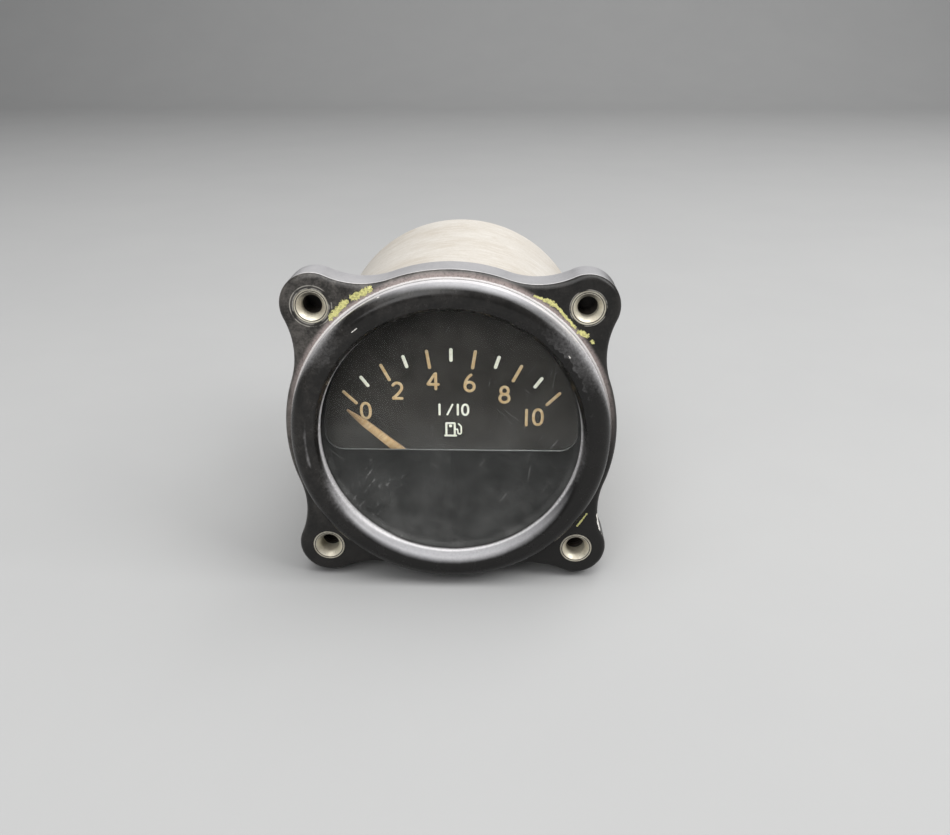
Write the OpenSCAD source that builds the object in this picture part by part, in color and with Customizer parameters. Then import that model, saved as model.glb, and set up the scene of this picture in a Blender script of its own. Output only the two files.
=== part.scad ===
// Aircraft fuel gauge for a round panel cut-out, with a balanced two-coil movement.
// Origin: on the gauge's axis, in the front face of the mounting flange.
// +X is to the right seen from the front, +Y runs to the rear, +Z is up. Millimetres.
// The pointer is drawn where it rests with the current off, just below the first mark.

/* [Panel fixing] */
// Distance between neighbouring panel screws, across and up
screw_square = 47.14; // [46:0.02:49]
// Radius of the hole for a panel screw
screw_hole_r = 1.75; // [1.5:0.05:2]
// Wall of the metal insert around a panel screw
insert_wall = 1.25; // [1:0.05:1.5]
// Width of the countersink at the mouth of an insert
insert_sink_w = 0.7; // [0.3:0.05:0.9]
// Depth of the countersink at the mouth of an insert
insert_sink_t = 0.45; // [0.2:0.05:0.5]
// Thickness of the closed end of an insert
insert_end_t = 0.9; // [0.6:0.1:1.5]

/* [Flange] */
// Radius of the round waist of the flange
waist_r = 29.9; // [29.4:0.1:31]
// Radius of each ear around its screw
ear_r = 5.6; // [5:0.1:6.5]
// Radius of the hollow between an ear and the waist
ear_fillet_r = 15; // [8:0.5:20]
// Thickness of the flange at its rim
flange_t = 7.2; // [6.5:0.1:9]
// Thickness of the inner web that carries the dial and the movement
web_t = 2.3; // [1.8:0.1:3]
// Width of the web on the inner side of its screws
web_land = 2.8; // [2:0.1:4]
// Length of the spigot that the case slides on to
spigot_l = 6; // [5.5:0.1:8]
// Wall of the spigot
spigot_wall = 2.05; // [1.6:0.05:2.4]

/* [Bezel ring] */
// Outer radius of the ring, which pilots in the panel's cut-out
ring_r = 28.45; // [28.1:0.05:29]
// How far the ring's crest stands in front of the flange
ring_front = 3.8; // [3.2:0.1:5]
// Length of the straight outer wall of the ring
ring_wall_l = 1.6; // [1:0.1:2.2]
// Width of the flat crest
crest_w = 0.7; // [0.3:0.1:1.2]
// Radius at the inner side of the crest
crest_fillet_r = 1.8; // [1.2:0.1:2]
// How far the lip reaches in over the edge of the glass
lip_w = 2.05; // [1.6:0.05:2.6]
// How far the lip's front edge stands in front of the flange
lip_front = 1.4; // [1.2:0.1:2]
// Thickness of the lip at its edge
lip_t = 0.8; // [0.5:0.1:1]
// Width of the ring outside its skirt
ring_seat_w = 1.45; // [1:0.05:2]
// Depth of the ring's seat in the flange's face
ring_sink = 0.3; // [0.2:0.05:0.5]
// How far the ring's wall overhangs its seat
ring_overhang_w = 0.45; // [0.35:0.05:0.6]
// Width of the groove that shows around the ring in the flange's face
ring_groove_w = 0.15; // [0.1:0.05:0.3]
// Wall of the skirt that screws into the flange
skirt_wall = 1.4; // [1:0.1:1.6]
// Depth of the skirt in the flange
skirt_l = 2.6; // [2:0.1:3.5]

/* [Glass and dial] */
// Thickness of the gasket in front of the glass
glass_gasket_t = 0.4; // [0.3:0.05:0.5]
// Width of the gasket in front of the glass
glass_gasket_w = 1.7; // [1:0.1:1.9]
// Thickness of the glass
glass_t = 1.8; // [1.5:0.1:2.2]
// Thickness of the mask
mask_t = 0.5; // [0.4:0.05:0.8]
// Height of the gap between mask and dial, where the pointer swings
spacer_t = 2; // [1.8:0.1:2.6]
// Wall of the spacer ring
spacer_wall = 1.5; // [1:0.1:1.8]
// Thickness of the dial
dial_t = 0.8; // [0.6:0.1:1.2]
// Width of the mask's rim around the window
mask_rim_w = 2.4; // [2.1:0.1:3.4]
// Height of the window's straight lower edge, from the gauge's axis
window_sill_z = -3.9; // [-5:0.1:-3]
// Radius of the window's lower corners
window_corner_r = 3.3; // [2:0.1:4.5]
// Angle of each dial screw from the vertical
dial_screw_angle = 128; // [122:1:134]

/* [Pointer] */
// Height of the pointer's pivot above the spacer's lowest point
pivot_rise = 11.1; // [10.5:0.1:11.7]
// Length of the pointer from the pivot to the tip
pointer_l = 24.95; // [23:0.05:26]
// Width of the pointer where it is widest
pointer_w = 1.8; // [1.5:0.1:2.1]
// Width of the pointer at its tip
pointer_tip_w = 0.3; // [0.2:0.05:0.5]
// Length of the pointed end
pointer_point_l = 4; // [2:0.5:6]
// Width of the blade where the pointed end starts
pointer_neck_w = 1.4; // [1.1:0.05:1.5]
// Distance from the pivot to where the blade starts to taper
pointer_taper_at = 13; // [11:0.5:15]
// Thickness of the pointer
pointer_t = 0.3; // [0.2:0.05:0.4]
// Length of the pointer's tail from the pivot
tail_l = 9; // [8:0.5:10]
// Radius of the balance weight on the tail
balance_r = 1.5; // [1.2:0.1:1.8]
// Angle of the pointer to the left of vertical, at rest
rest_angle = 49.6; // [48:0.1:51]
// Angle that the pointer turns through, stop to stop
sweep_angle = 99; // [96:1:102]
// Distance of the two stop pins from the pivot
stop_ring_r = 9; // [8:0.5:10]
// Radius of a stop pin
stop_r = 0.5; // [0.4:0.05:0.7]
// Radius of the bush that the pointer is riveted to
pointer_bush_r = 1.8; // [1.5:0.1:2]

/* [Movement] */
// Radius of the staff
staff_r = 0.75; // [0.6:0.05:0.9]
// Radius of the staff's rear pivot
rear_pivot_r = 0.4; // [0.3:0.05:0.5]
// Thickness of the front and rear plates
plate_t = 1.4; // [1.2:0.1:1.8]
// Radius of the pillars between the plates
pillar_r = 2; // [1.8:0.1:2.2]
// Angle of each lower pillar from the vertical
pillar_angle = 117; // [114:1:118]
// Radius of the front bearing's boss, which the zero lever turns on
boss_r = 2; // [1.7:0.1:2.2]
// Thickness of the zero lever
lever_t = 0.8; // [0.6:0.1:1]
// Width of the zero lever's arm
lever_w = 1.8; // [1.6:0.1:2.2]
// Radius of the collet that holds the inner end of the hairspring
collet_r = 1.4; // [1.2:0.1:1.5]
// Turns of the hairspring
spring_turns = 4; // [3:1:5]
// Radial pitch of the hairspring's turns
spring_pitch = 0.8; // [0.7:0.05:0.9]
// Thickness of the hairspring's strip
spring_strip_t = 0.22; // [0.18:0.02:0.3]
// Width of the hairspring's strip
spring_strip_w = 0.7; // [0.5:0.1:0.9]

/* [Coils] */
// Radius of the armature's swing
armature_r = 5.7; // [5.2:0.1:6]
// Width of the armature
armature_w = 4.6; // [4:0.1:5]
// Thickness of the armature along the staff
armature_t = 4; // [3:0.5:5]
// Air gap between the armature and a pole shoe
air_gap = 0.5; // [0.4:0.05:0.7]
// Radius of a pole shoe
shoe_r = 3.4; // [3.1:0.1:3.6]
// Thickness of a pole shoe behind its hollow face
shoe_t = 1.4; // [1:0.1:2]
// Radius of a coil's iron core
core_r = 2.2; // [2:0.1:2.4]
// Length of a bobbin
bobbin_l = 11.4; // [10:0.2:12]
// Radius of a bobbin's flanges
bobbin_r = 5.25; // [4.8:0.05:5.6]
// Thickness of a bobbin's flanges
bobbin_flange_t = 0.8; // [0.6:0.1:1]
// Wall of a bobbin's tube
bobbin_wall = 0.7; // [0.5:0.1:0.9]
// How far the wire lies below the rim of the bobbin
winding_sink = 0.35; // [0.2:0.05:0.6]
// Thickness of the iron yoke over the coils
yoke_t = 1.5; // [1.2:0.1:2]

/* [Resistor board] */
// Length of the posts that carry the board
board_post_l = 5.6; // [5:0.2:7]
// Thickness of the board
board_t = 1.6; // [1.2:0.1:2]
// Distance of each resistor spool from the middle of the board, across
spool_x = 13; // [12:0.5:14]
// Height of the resistor spools above the middle of the board
spool_z = 7; // [6.5:0.5:9]
// Length of a resistor spool
spool_l = 10; // [8:0.5:13]
// Radius of a resistor spool's flanges
spool_r = 4.5; // [4:0.1:4.8]
// Radius of the wires
wire_r = 0.35; // [0.3:0.05:0.5]

/* [Case] */
// Outer radius of the case
case_r = 28.2; // [28:0.05:28.4]
// Wall of the case
case_wall = 0.9; // [0.7:0.05:1.1]
// Distance from the flange's front face to the back of the case
case_back_y = 58.5; // [57:0.5:65]
// Radius of the rounded edge at the back of the case
case_edge_r = 2.5; // [1.5:0.1:4]
// Thickness of the gasket between the flange and the case
case_gasket_t = 0.5; // [0.3:0.1:0.8]
// Radius of the screws that hold the case on the spigot
case_screw_r = 1.4; // [1.2:0.1:1.6]

/* [Terminals] */
// Distance of each terminal stud from the gauge's axis
terminal_ring_r = 9; // [8.5:0.1:10]
// Radius of the free end of a terminal stud
stud_r = 2.08; // [1.9:0.02:2.2]
// Length of the free end of a terminal stud
stud_free_l = 7.7; // [6:0.1:10]
// Radius of a stud's plain shank
stud_shank_r = 2.4; // [2.3:0.05:2.6]
// Thickness of the stud's head inside the case
stud_head_t = 2; // [1.5:0.1:2.5]
// Radius over the corners of the stud's head
stud_head_r = 4; // [3.6:0.1:4.2]
// Radius of the moulded terminal plate
terminal_plate_r = 15.5; // [15:0.1:18]
// Thickness of the terminal plate
terminal_plate_t = 3.2; // [2.5:0.1:4]
// Wall of the sleeves on the terminal plate, which pass through the case
sleeve_wall = 1.1; // [0.8:0.1:1.3]
// Thickness of the gasket under the terminal plate
terminal_gasket_t = 0.6; // [0.4:0.1:0.8]
// Thickness of the insulating disc inside the case
insulator_t = 1.7; // [1.2:0.1:2.5]
// Thickness of a stud's washer
washer_t = 0.8; // [0.6:0.1:1]
// Radius of a stud's washer
washer_r = 4.4; // [4:0.1:4.8]
// Thickness of a stud's nut
nut_t = 3.2; // [2.4:0.1:3.6]
// Radius over the corners of a stud's nut
nut_r = 5.04; // [4.6:0.02:5.3]

/* [Clearances] */
// Gap between pieces that are pressed or screwed together
press_gap = 0.02; // [0.01:0.005:0.05]
// Radial gap of a running fit
run_fit = 0.05; // [0.02:0.01:0.08]
// Gap around the glass and dial in their bore
stack_gap = 0.2; // [0.1:0.05:0.3]
// Gap along the staff between what turns and what stands still
end_gap = 0.35; // [0.3:0.05:0.4]
// Gap between the pointer and a stop pin at the end of the swing
stop_gap = 0.08; // [0.04:0.01:0.1]
// Gap between the hairspring and what it lies next to
spring_gap = 0.06; // [0.04:0.01:0.08]
// Gap around a screw in a plain hole
hole_gap = 0.15; // [0.1:0.05:0.2]
// Gap around the staff in the dial and around a wire in the rear plate
pass_gap = 1; // [0.6:0.1:1.2]
// Gap between the case and the spigot
case_gap = 0.05; // [0.03:0.01:0.08]

/* [Small screws] */
// Radius of the screws of the dial and the movement
screw_r = 1.1; // [1:0.05:1.2]
// Radius of a screw's head
screw_head_r = 1.9; // [1.8:0.05:2]
// Thickness of a screw's head
screw_head_t = 1.1; // [0.8:0.1:1.3]
// Thickness of a dial screw's head
dial_screw_head_t = 0.8; // [0.6:0.1:1]
// Depth of a tapped hole in a post or a core
tap_l = 4.5; // [3.5:0.1:5]
// Width of a screwdriver slot
slot_w = 0.5; // [0.4:0.05:0.6]

/* [Hidden] */
$fn = 64;

black_paint = [0.13, 0.13, 0.13];
case_metal = [0.66, 0.62, 0.54];
bright_metal = [0.72, 0.70, 0.64];
brass = [0.76, 0.62, 0.32];
steel = [0.60, 0.60, 0.60];
iron = [0.42, 0.42, 0.42];
copper = [0.66, 0.34, 0.18];
rubber_black = [0.09, 0.09, 0.09];
moulding_brown = [0.24, 0.13, 0.08];
dial_black = [0.06, 0.06, 0.06];
lume_tan = [0.80, 0.60, 0.36];

// Depths along the axis, from the lip of the bezel to the terminals
lip_back_y = lip_t - lip_front;
glass_y = lip_back_y + glass_gasket_t;
mask_y = glass_y + glass_t;
spacer_y = mask_y + mask_t;
dial_y = spacer_y + spacer_t;
web_y = dial_y + dial_t;
front_plate_y = web_y + web_t;
works_y = front_plate_y + plate_t;
bearing_flange_t = 0.5;
boss_l = bearing_flange_t + lever_t + 2 * spring_gap;
collet_y = works_y + boss_l + end_gap;
collet_margin = 0.2;
collet_l = spring_strip_w + 2 * collet_margin;
spring_y = collet_y + collet_margin;
coil_front_gap = 0.8;
coil_rear_gap = 2.2;
coil_y = collet_y + collet_l + coil_front_gap + bobbin_r;
rear_plate_y = coil_y + bobbin_r + coil_rear_gap;
rear_plate_back_y = rear_plate_y + plate_t;
board_y = rear_plate_back_y + board_post_l;
board_back_y = board_y + board_t;
spigot_end_y = flange_t + spigot_l;
case_front_y = flange_t + case_gasket_t;
case_screw_y = flange_t + spigot_l / 2;
back_inner_y = case_back_y - case_wall;
insulator_y = back_inner_y - insulator_t;
terminal_plate_y = case_back_y + terminal_gasket_t;
washer_y = terminal_plate_y + terminal_plate_t;
nut_y = washer_y + washer_t;
stud_free_y = nut_y + nut_t;

// Radii that follow from the fits
insert_r = screw_hole_r + insert_wall;
sink_r = screw_hole_r + insert_sink_w;
skirt_r = ring_r - ring_seat_w;
stack_bore_r = skirt_r - skirt_wall;
stack_r = stack_bore_r - stack_gap;
lip_r = stack_r - lip_w;
window_r = stack_r - mask_rim_w;
spigot_r = case_r - case_wall - case_gap;
spigot_bore_r = spigot_r - spigot_wall;
plate_r = spigot_bore_r - stack_gap;
dial_head_less = 0.5;
dial_screw_head_r = screw_head_r - dial_head_less;
dial_screw_ring_r = stack_r - spacer_wall - dial_screw_head_r - hole_gap;
edge_margin = 0.6;
plate_screw_ring_r = plate_r - screw_head_r - edge_margin;
web_r = min(dial_screw_ring_r, plate_screw_ring_r) - web_land;
pillar_margin = 1;
pillar_ring_r = plate_r - pillar_r - pillar_margin;
board_inset = 0.5;
board_r = plate_r - board_inset;
tenon_extra = 0.1;
tenon_r = screw_r + tenon_extra;
thread_depth = 0.18;
stud_thread_r = stud_r - thread_depth;
sleeve_r = stud_shank_r + run_fit + sleeve_wall;
sleeve_hole_r = sleeve_r + hole_gap;
insulator_inset = 1;
insulator_r = terminal_plate_r - insulator_inset;

// Places across the axis
pivot_z = pivot_rise + spacer_wall - stack_r;
plate_screw_angles = [60, 180, 300];
pillar_angles = [0, pillar_angle, -pillar_angle];
case_screw_angles = [60, 180, 300];
terminal_angles = [0, 120, 240];
coil_tilt = 45;
shoe_tip = sqrt(pow(armature_r + air_gap, 2) - pow(shoe_r, 2));
shoe_back = armature_r + air_gap + shoe_t;
coil_start = shoe_back + press_gap;
yoke_start = coil_start + bobbin_l + press_gap;
yoke_overhang = 1.2;
yoke_leg = bobbin_r + yoke_overhang;
yoke_tab_l = 4;
stop_off = asin((pointer_w / 2 + stop_r + stop_gap) / stop_ring_r);
spring_r0 = collet_r + spring_gap + spring_strip_t / 2;
spring_r1 = spring_r0 + spring_turns * spring_pitch;
lever_stud_r = 0.45;
lever_stud_ring_r = spring_r1 + spring_strip_t / 2 + spring_gap + lever_stud_r;

// Points along an arc around c, from angle a0 to a1
function arc(c, r, a0, a1, steps = 8) =
    [for (i = [0 : steps]) c + r * [cos(a0 + (a1 - a0) * i / steps), sin(a0 + (a1 - a0) * i / steps)]];

// Place across the axis at a radius and an angle clockwise from the vertical
function at(r, angle) = [r * sin(angle), r * cos(angle)];

// Angle, seen from c, of the point where a line from p touches a circle of radius r
function touch_angle(c, r, p, side) =
    atan2(p[1] - c[1], p[0] - c[0]) + side * acos(r / norm(p - c));

// Place of the left (-1) or right (1) dial screw across the axis
function dial_screw_at(side) = at(dial_screw_ring_r, side * dial_screw_angle);

// A flat shape drawn across the axis, as thick as from y0 to y1
module slab(y0, y1) {
    translate([0, y1, 0]) rotate([90, 0, 0]) linear_extrude(y1 - y0) children();
}

// A round bar along the axis at place p across it
module bar(p, r, y0, y1) {
    translate([p[0], y1, p[1]]) rotate([90, 0, 0]) cylinder(r = r, h = y1 - y0);
}

// A shape turned about the gauge's axis, from a profile of [radius, depth] points
module turned(profile) {
    rotate([-90, 0, 0]) rotate_extrude($fn = 128) polygon(profile);
}

// A plain ring about the gauge's axis
module ring(r_in, r_out, y0, y1) {
    turned([[r_in, y0], [r_out, y0], [r_out, y1], [r_in, y1]]);
}

// Children drawn about the pointer's pivot
module at_pivot() {
    translate([0, 0, pivot_z]) children();
}

// Children drawn along +Z from the pivot become parts of both coils
module at_coils() {
    for (side = [-1, 1])
        translate([0, coil_y, pivot_z]) rotate([0, side * coil_tilt, 0]) children();
}

// A slotted cheese-head screw: shank from y0 to y1, head behind y1
module rear_screw(p, r, head_r, y0, y1, head_t) {
    difference() {
        union() {
            bar(p, r, y0, y1);
            bar(p, head_r, y1, y1 + head_t);
        }
        translate([p[0] - head_r, y1 + head_t / 2, p[1] - slot_w / 2])
            cube([2 * head_r, head_t, slot_w]);
    }
}

// Outline of the flange: a round waist with four ears on hollow fillets
module flange_outline() {
    ear_p = [screw_square / 2, screw_square / 2];
    ear_d = norm(ear_p);
    waist_d = waist_r + ear_fillet_r;
    ear_reach = ear_r + ear_fillet_r;
    fillet_a = acos((pow(ear_d, 2) + pow(waist_d, 2) - pow(ear_reach, 2)) / (2 * ear_d * waist_d));
    circle(r = waist_r, $fn = 128);
    for (turn = [0 : 90 : 270]) rotate(turn) {
        translate(ear_p) circle(r = ear_r);
        for (side = [-1, 1]) {
            fillet_c = waist_d * [cos(45 + side * fillet_a), sin(45 + side * fillet_a)];
            difference() {
                polygon([[0, 0], ear_p, fillet_c]);
                translate(fillet_c) circle(r = ear_fillet_r, $fn = 128);
            }
        }
    }
}

module mounting_flange() {
    color(black_paint) difference() {
        union() {
            slab(0, flange_t) flange_outline();
            ring(spigot_bore_r, spigot_r, flange_t, spigot_end_y);
            ring(web_r, spigot_r, web_y, front_plate_y);
        }
        bar([0, 0], ring_r + ring_groove_w, -1, ring_sink);
        bar([0, 0], skirt_r + press_gap, -1, skirt_l + press_gap);
        bar([0, 0], stack_bore_r, 0, web_y);
        bar([0, 0], web_r, 0, spigot_end_y);
        bar([0, 0], spigot_bore_r, front_plate_y, spigot_end_y + 1);
        for (x = [-1, 1], z = [-1, 1])
            bar([x, z] * screw_square / 2, insert_r + press_gap, -1, flange_t + 1);
        for (a = plate_screw_angles)
            bar(at(plate_screw_ring_r, a), screw_r + press_gap, web_y - 1, front_plate_y + 1);
        for (side = [-1, 1])
            bar(dial_screw_at(side), screw_r + press_gap, web_y - 1, front_plate_y + 1);
        for (a = case_screw_angles)
            translate([0, case_screw_y, 0]) rotate([0, a, 0])
                translate([0, 0, spigot_bore_r - 1])
                    cylinder(r = case_screw_r + press_gap, h = spigot_wall + 2);
    }
}

module screw_inserts() {
    color(bright_metal) for (x = [-1, 1], z = [-1, 1])
        translate([x * screw_square / 2, 0, z * screw_square / 2])
            turned([
                [sink_r, 0], [insert_r, 0], [insert_r, flange_t],
                [0, flange_t], [0, flange_t - insert_end_t],
                [screw_hole_r, flange_t - insert_end_t], [screw_hole_r, insert_sink_t]
            ]);
}

module bezel_ring() {
    shoulder_r = ring_front - ring_wall_l;
    shoulder_c = [ring_r - shoulder_r, -ring_wall_l];
    crest_c = [ring_r - shoulder_r - crest_w, crest_fillet_r - ring_front];
    lip_p = [lip_r, -lip_front];
    slope_a = touch_angle(crest_c, crest_fillet_r, lip_p, 1) - 360;
    seat_r = ring_r - ring_overhang_w;
    color(black_paint) turned(concat(
        [[skirt_r, ring_sink], [seat_r, ring_sink], [seat_r, 0], [ring_r, 0]],
        arc(shoulder_c, shoulder_r, 0, -90),
        arc(crest_c, crest_fillet_r, -90, slope_a),
        [lip_p, [lip_r, lip_back_y], [stack_bore_r, lip_back_y]],
        [[stack_bore_r, skirt_l], [skirt_r, skirt_l]]
    ));
}

module glass_gasket() {
    color(rubber_black) ring(stack_r - glass_gasket_w, stack_r, lip_back_y, glass_y);
}

module cover_glass() {
    color([0.75, 0.80, 0.80, 0.35]) bar([0, 0], stack_r, glass_y, mask_y);
}

// The window is round, cut off straight below and rounded at its two corners
module window_outline() {
    corner_z = window_sill_z + window_corner_r;
    corner_x = sqrt(pow(window_r - window_corner_r, 2) - corner_z * corner_z);
    corner_touch = corner_z * window_r / (window_r - window_corner_r);
    union() {
        intersection() {
            circle(r = window_r, $fn = 128);
            translate([-window_r, corner_touch]) square([2 * window_r, window_r - corner_touch]);
        }
        polygon([
            [-corner_x, window_sill_z], [corner_x, window_sill_z],
            [corner_x, corner_z], [corner_x * window_r / (window_r - window_corner_r), corner_touch],
            [0, corner_touch + window_corner_r],
            [-corner_x * window_r / (window_r - window_corner_r), corner_touch], [-corner_x, corner_z]
        ]);
        for (side = [-1, 1])
            translate([side * corner_x, corner_z]) circle(r = window_corner_r);
    }
}

module dial_mask() {
    color(dial_black) slab(mask_y, spacer_y) difference() {
        circle(r = stack_r, $fn = 128);
        window_outline();
    }
}

module dial_spacer() {
    color(dial_black) ring(stack_r - spacer_wall, stack_r, spacer_y, dial_y);
}

// Place of a stop pin across the axis, at the lower (-1) or upper (1) end of the swing
function stop_at(end) =
    [0, pivot_z] + at(stop_ring_r, end < 0 ? -rest_angle - stop_off : sweep_angle - rest_angle + stop_off);

module dial_plate() {
    color(dial_black) difference() {
        bar([0, 0], stack_r, dial_y, web_y);
        bar([0, pivot_z], staff_r + pass_gap, dial_y - 1, web_y + 1);
        for (side = [-1, 1]) {
            bar(dial_screw_at(side), screw_r + hole_gap, dial_y - 1, web_y + 1);
            bar(stop_at(side), stop_r + press_gap, dial_y - 1, web_y + 1);
        }
    }
}

module dial_screws() {
    color(steel) for (side = [-1, 1]) {
        p = dial_screw_at(side);
        difference() {
            union() {
                bar(p, screw_r, dial_y, front_plate_y - end_gap);
                bar(p, dial_screw_head_r, dial_y - dial_screw_head_t, dial_y);
            }
            translate([p[0] - dial_screw_head_r, dial_y - 3 / 2 * dial_screw_head_t, p[1] - slot_w / 2])
                cube([2 * dial_screw_head_r, dial_screw_head_t, slot_w]);
        }
    }
}

module pointer_stops() {
    color(brass) for (end = [-1, 1]) bar(stop_at(end), stop_r, spacer_y + end_gap, web_y);
}

pointer_y = spacer_y + (spacer_t - pointer_t) / 2;
balance_ring_r = tail_l - balance_r;
eye_wall = 0.5;

module pointer() {
    color(lume_tan) at_pivot() rotate([0, -rest_angle, 0]) slab(pointer_y, pointer_y + pointer_t)
        difference() {
            union() {
                polygon([
                    [-pointer_w / 2, -tail_l], [pointer_w / 2, -tail_l],
                    [pointer_w / 2, pointer_taper_at], [pointer_neck_w / 2, pointer_l - pointer_point_l],
                    [pointer_tip_w / 2, pointer_l], [-pointer_tip_w / 2, pointer_l],
                    [-pointer_neck_w / 2, pointer_l - pointer_point_l], [-pointer_w / 2, pointer_taper_at]
                ]);
                circle(r = pointer_bush_r + eye_wall);
            }
            circle(r = pointer_bush_r + press_gap);
        }
}

module pointer_bush() {
    color(brass) at_pivot() difference() {
        bar([0, 0], pointer_bush_r, spacer_y + end_gap, dial_y - end_gap);
        bar([0, 0], staff_r + press_gap, spacer_y, dial_y);
    }
}

module balance_weight() {
    color(brass) at_pivot() rotate([0, -rest_angle, 0])
        bar([0, -balance_ring_r], balance_r, pointer_y + pointer_t, dial_y - end_gap);
}

module staff() {
    shoulder_y = rear_plate_y - end_gap;
    color(steel) at_pivot() {
        bar([0, 0], staff_r, spacer_y + end_gap, shoulder_y);
        bar([0, 0], rear_pivot_r, shoulder_y, rear_plate_y + plate_t / 2 - end_gap);
    }
}

// The vane lies along the line between the coils at mid scale
module armature() {
    color(iron) at_pivot() rotate([0, sweep_angle / 2 - rest_angle - coil_tilt, 0])
        slab(coil_y - armature_t / 2, coil_y + armature_t / 2) difference() {
            intersection() {
                circle(r = armature_r);
                square([armature_w, 2 * armature_r], center = true);
            }
            circle(r = staff_r + press_gap);
        }
}

module hairspring_collet() {
    color(brass) at_pivot() difference() {
        bar([0, 0], collet_r, collet_y, collet_y + collet_l);
        bar([0, 0], staff_r + press_gap, collet_y - 1, collet_y + collet_l + 1);
    }
}

// A split ring on the bearing's boss, with an arm and the stud that pins the spring
module zero_lever() {
    lever_y = works_y + bearing_flange_t + spring_gap;
    arm_l = lever_stud_ring_r + lever_w / 2;
    color(brass) at_pivot() {
        slab(lever_y, lever_y + lever_t) difference() {
            union() {
                circle(r = boss_r + run_fit + lever_w);
                translate([-lever_w / 2, 0]) square([lever_w, arm_l]);
            }
            circle(r = boss_r + run_fit);
        }
        bar([0, lever_stud_ring_r], lever_stud_r, lever_y + lever_t, spring_y + spring_strip_w);
    }
}

// A flat spiral that ends at the lever's stud, straight above the pivot
module hairspring() {
    step = 1 / 24;
    half_t = spring_strip_t / 2;
    inner = [for (t = [0 : step : spring_turns]) at(spring_r0 + spring_pitch * t - half_t, 360 * t)];
    outer = [for (t = [spring_turns : -step : 0]) at(spring_r0 + spring_pitch * t + half_t, 360 * t)];
    color(copper) at_pivot() slab(spring_y, spring_y + spring_strip_w) polygon(concat(inner, outer));
}

// Outline of the yoke: a strip bent to a right angle over the outer ends of the coils
module yoke_outline(r0, r1, leg0, leg1) {
    for (side = [-1, 1]) translate([0, pivot_z]) rotate(-side * coil_tilt)
        translate([min(side * leg0, side * leg1), r0]) square([abs(leg1 - leg0), r1 - r0]);
}

// Slots that take the yoke's tabs
module yoke_slots(y0, y1) {
    slab(y0, y1)
        yoke_outline(yoke_start - press_gap, yoke_start + yoke_t + press_gap,
            -yoke_tab_l / 2 - press_gap, yoke_tab_l / 2 + press_gap);
}

module front_plate() {
    color(brass) difference() {
        bar([0, 0], plate_r, front_plate_y, works_y);
        bar([0, pivot_z], boss_r + press_gap, front_plate_y - 1, works_y + 1);
        for (a = plate_screw_angles)
            bar(at(plate_screw_ring_r, a), screw_r + hole_gap, front_plate_y - 1, works_y + 1);
        for (a = pillar_angles)
            bar(at(pillar_ring_r, a), tenon_r + press_gap, front_plate_y - 1, works_y + 1);
        yoke_slots(front_plate_y - 1, works_y + 1);
    }
}

module plate_screws() {
    color(steel) for (a = plate_screw_angles)
        rear_screw(at(plate_screw_ring_r, a), screw_r, screw_head_r,
            web_y + end_gap, works_y, screw_head_t);
}

module front_bearing() {
    color(bright_metal) at_pivot() difference() {
        union() {
            bar([0, 0], boss_r, front_plate_y, works_y + boss_l);
            bar([0, 0], boss_r + lever_w / 2, works_y, works_y + bearing_flange_t);
        }
        bar([0, 0], staff_r + run_fit, front_plate_y - 1, works_y + boss_l + 1);
    }
}

module pillars() {
    color(brass) for (a = pillar_angles) difference() {
        union() {
            bar(at(pillar_ring_r, a), pillar_r, works_y, rear_plate_y);
            bar(at(pillar_ring_r, a), tenon_r, front_plate_y, works_y);
        }
        bar(at(pillar_ring_r, a), screw_r + press_gap, rear_plate_y - tap_l, rear_plate_y + 1);
    }
}

jewel_r = 2.4;
jewel_l = 4.6;

module rear_plate() {
    color(brass) difference() {
        bar([0, 0], plate_r, rear_plate_y, rear_plate_back_y);
        bar([0, pivot_z], jewel_r + press_gap, rear_plate_y - 1, rear_plate_back_y + 1);
        for (a = pillar_angles)
            bar(at(pillar_ring_r, a), screw_r + hole_gap, rear_plate_y - 1, rear_plate_back_y + 1);
        for (p = coil_lead_places)
            bar(p, wire_r + pass_gap, rear_plate_y - 1, rear_plate_back_y + 1);
        yoke_slots(rear_plate_y - 1, rear_plate_back_y + 1);
    }
}

module jewel_screw() {
    slot_t = 0.8;
    color(brass) at_pivot() difference() {
        bar([0, 0], jewel_r, rear_plate_y, rear_plate_y + jewel_l);
        bar([0, 0], rear_pivot_r + run_fit, rear_plate_y - 1, rear_plate_y + plate_t / 2);
        translate([-jewel_r, rear_plate_y + jewel_l - slot_t, -slot_w / 2])
            cube([2 * jewel_r, 2 * slot_t, slot_w]);
    }
}

module jewel_lock_nut() {
    lock_nut_t = 1.8;
    lock_nut_wall = 1.6;
    lock_nut_r = jewel_r + lock_nut_wall;
    color(brass) at_pivot() difference() {
        translate([0, rear_plate_back_y + lock_nut_t, 0]) rotate([90, 0, 0])
            cylinder(r = lock_nut_r, h = lock_nut_t, $fn = 6);
        bar([0, 0], jewel_r + press_gap, rear_plate_y, rear_plate_back_y + lock_nut_t + 1);
    }
}

module coil_yoke() {
    color(iron) difference() {
        union() {
            slab(works_y, rear_plate_y)
                yoke_outline(yoke_start, yoke_start + yoke_t, -yoke_start - yoke_t, yoke_leg);
            slab(front_plate_y, rear_plate_back_y)
                yoke_outline(yoke_start, yoke_start + yoke_t, -yoke_tab_l / 2, yoke_tab_l / 2);
        }
        at_coils() cylinder(r = screw_r + hole_gap, h = yoke_start + yoke_t + 1);
    }
}

module coil_cores() {
    color(iron) difference() {
        at_coils() difference() {
            union() {
                translate([0, 0, shoe_tip]) cylinder(r = shoe_r, h = shoe_back - shoe_tip);
                translate([0, 0, shoe_back]) cylinder(r = core_r, h = yoke_start - shoe_back);
            }
            translate([0, 0, yoke_start - tap_l]) cylinder(r = screw_r + press_gap, h = tap_l + 1);
        }
        bar([0, pivot_z], armature_r + air_gap, works_y, rear_plate_y);
    }
}

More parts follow.
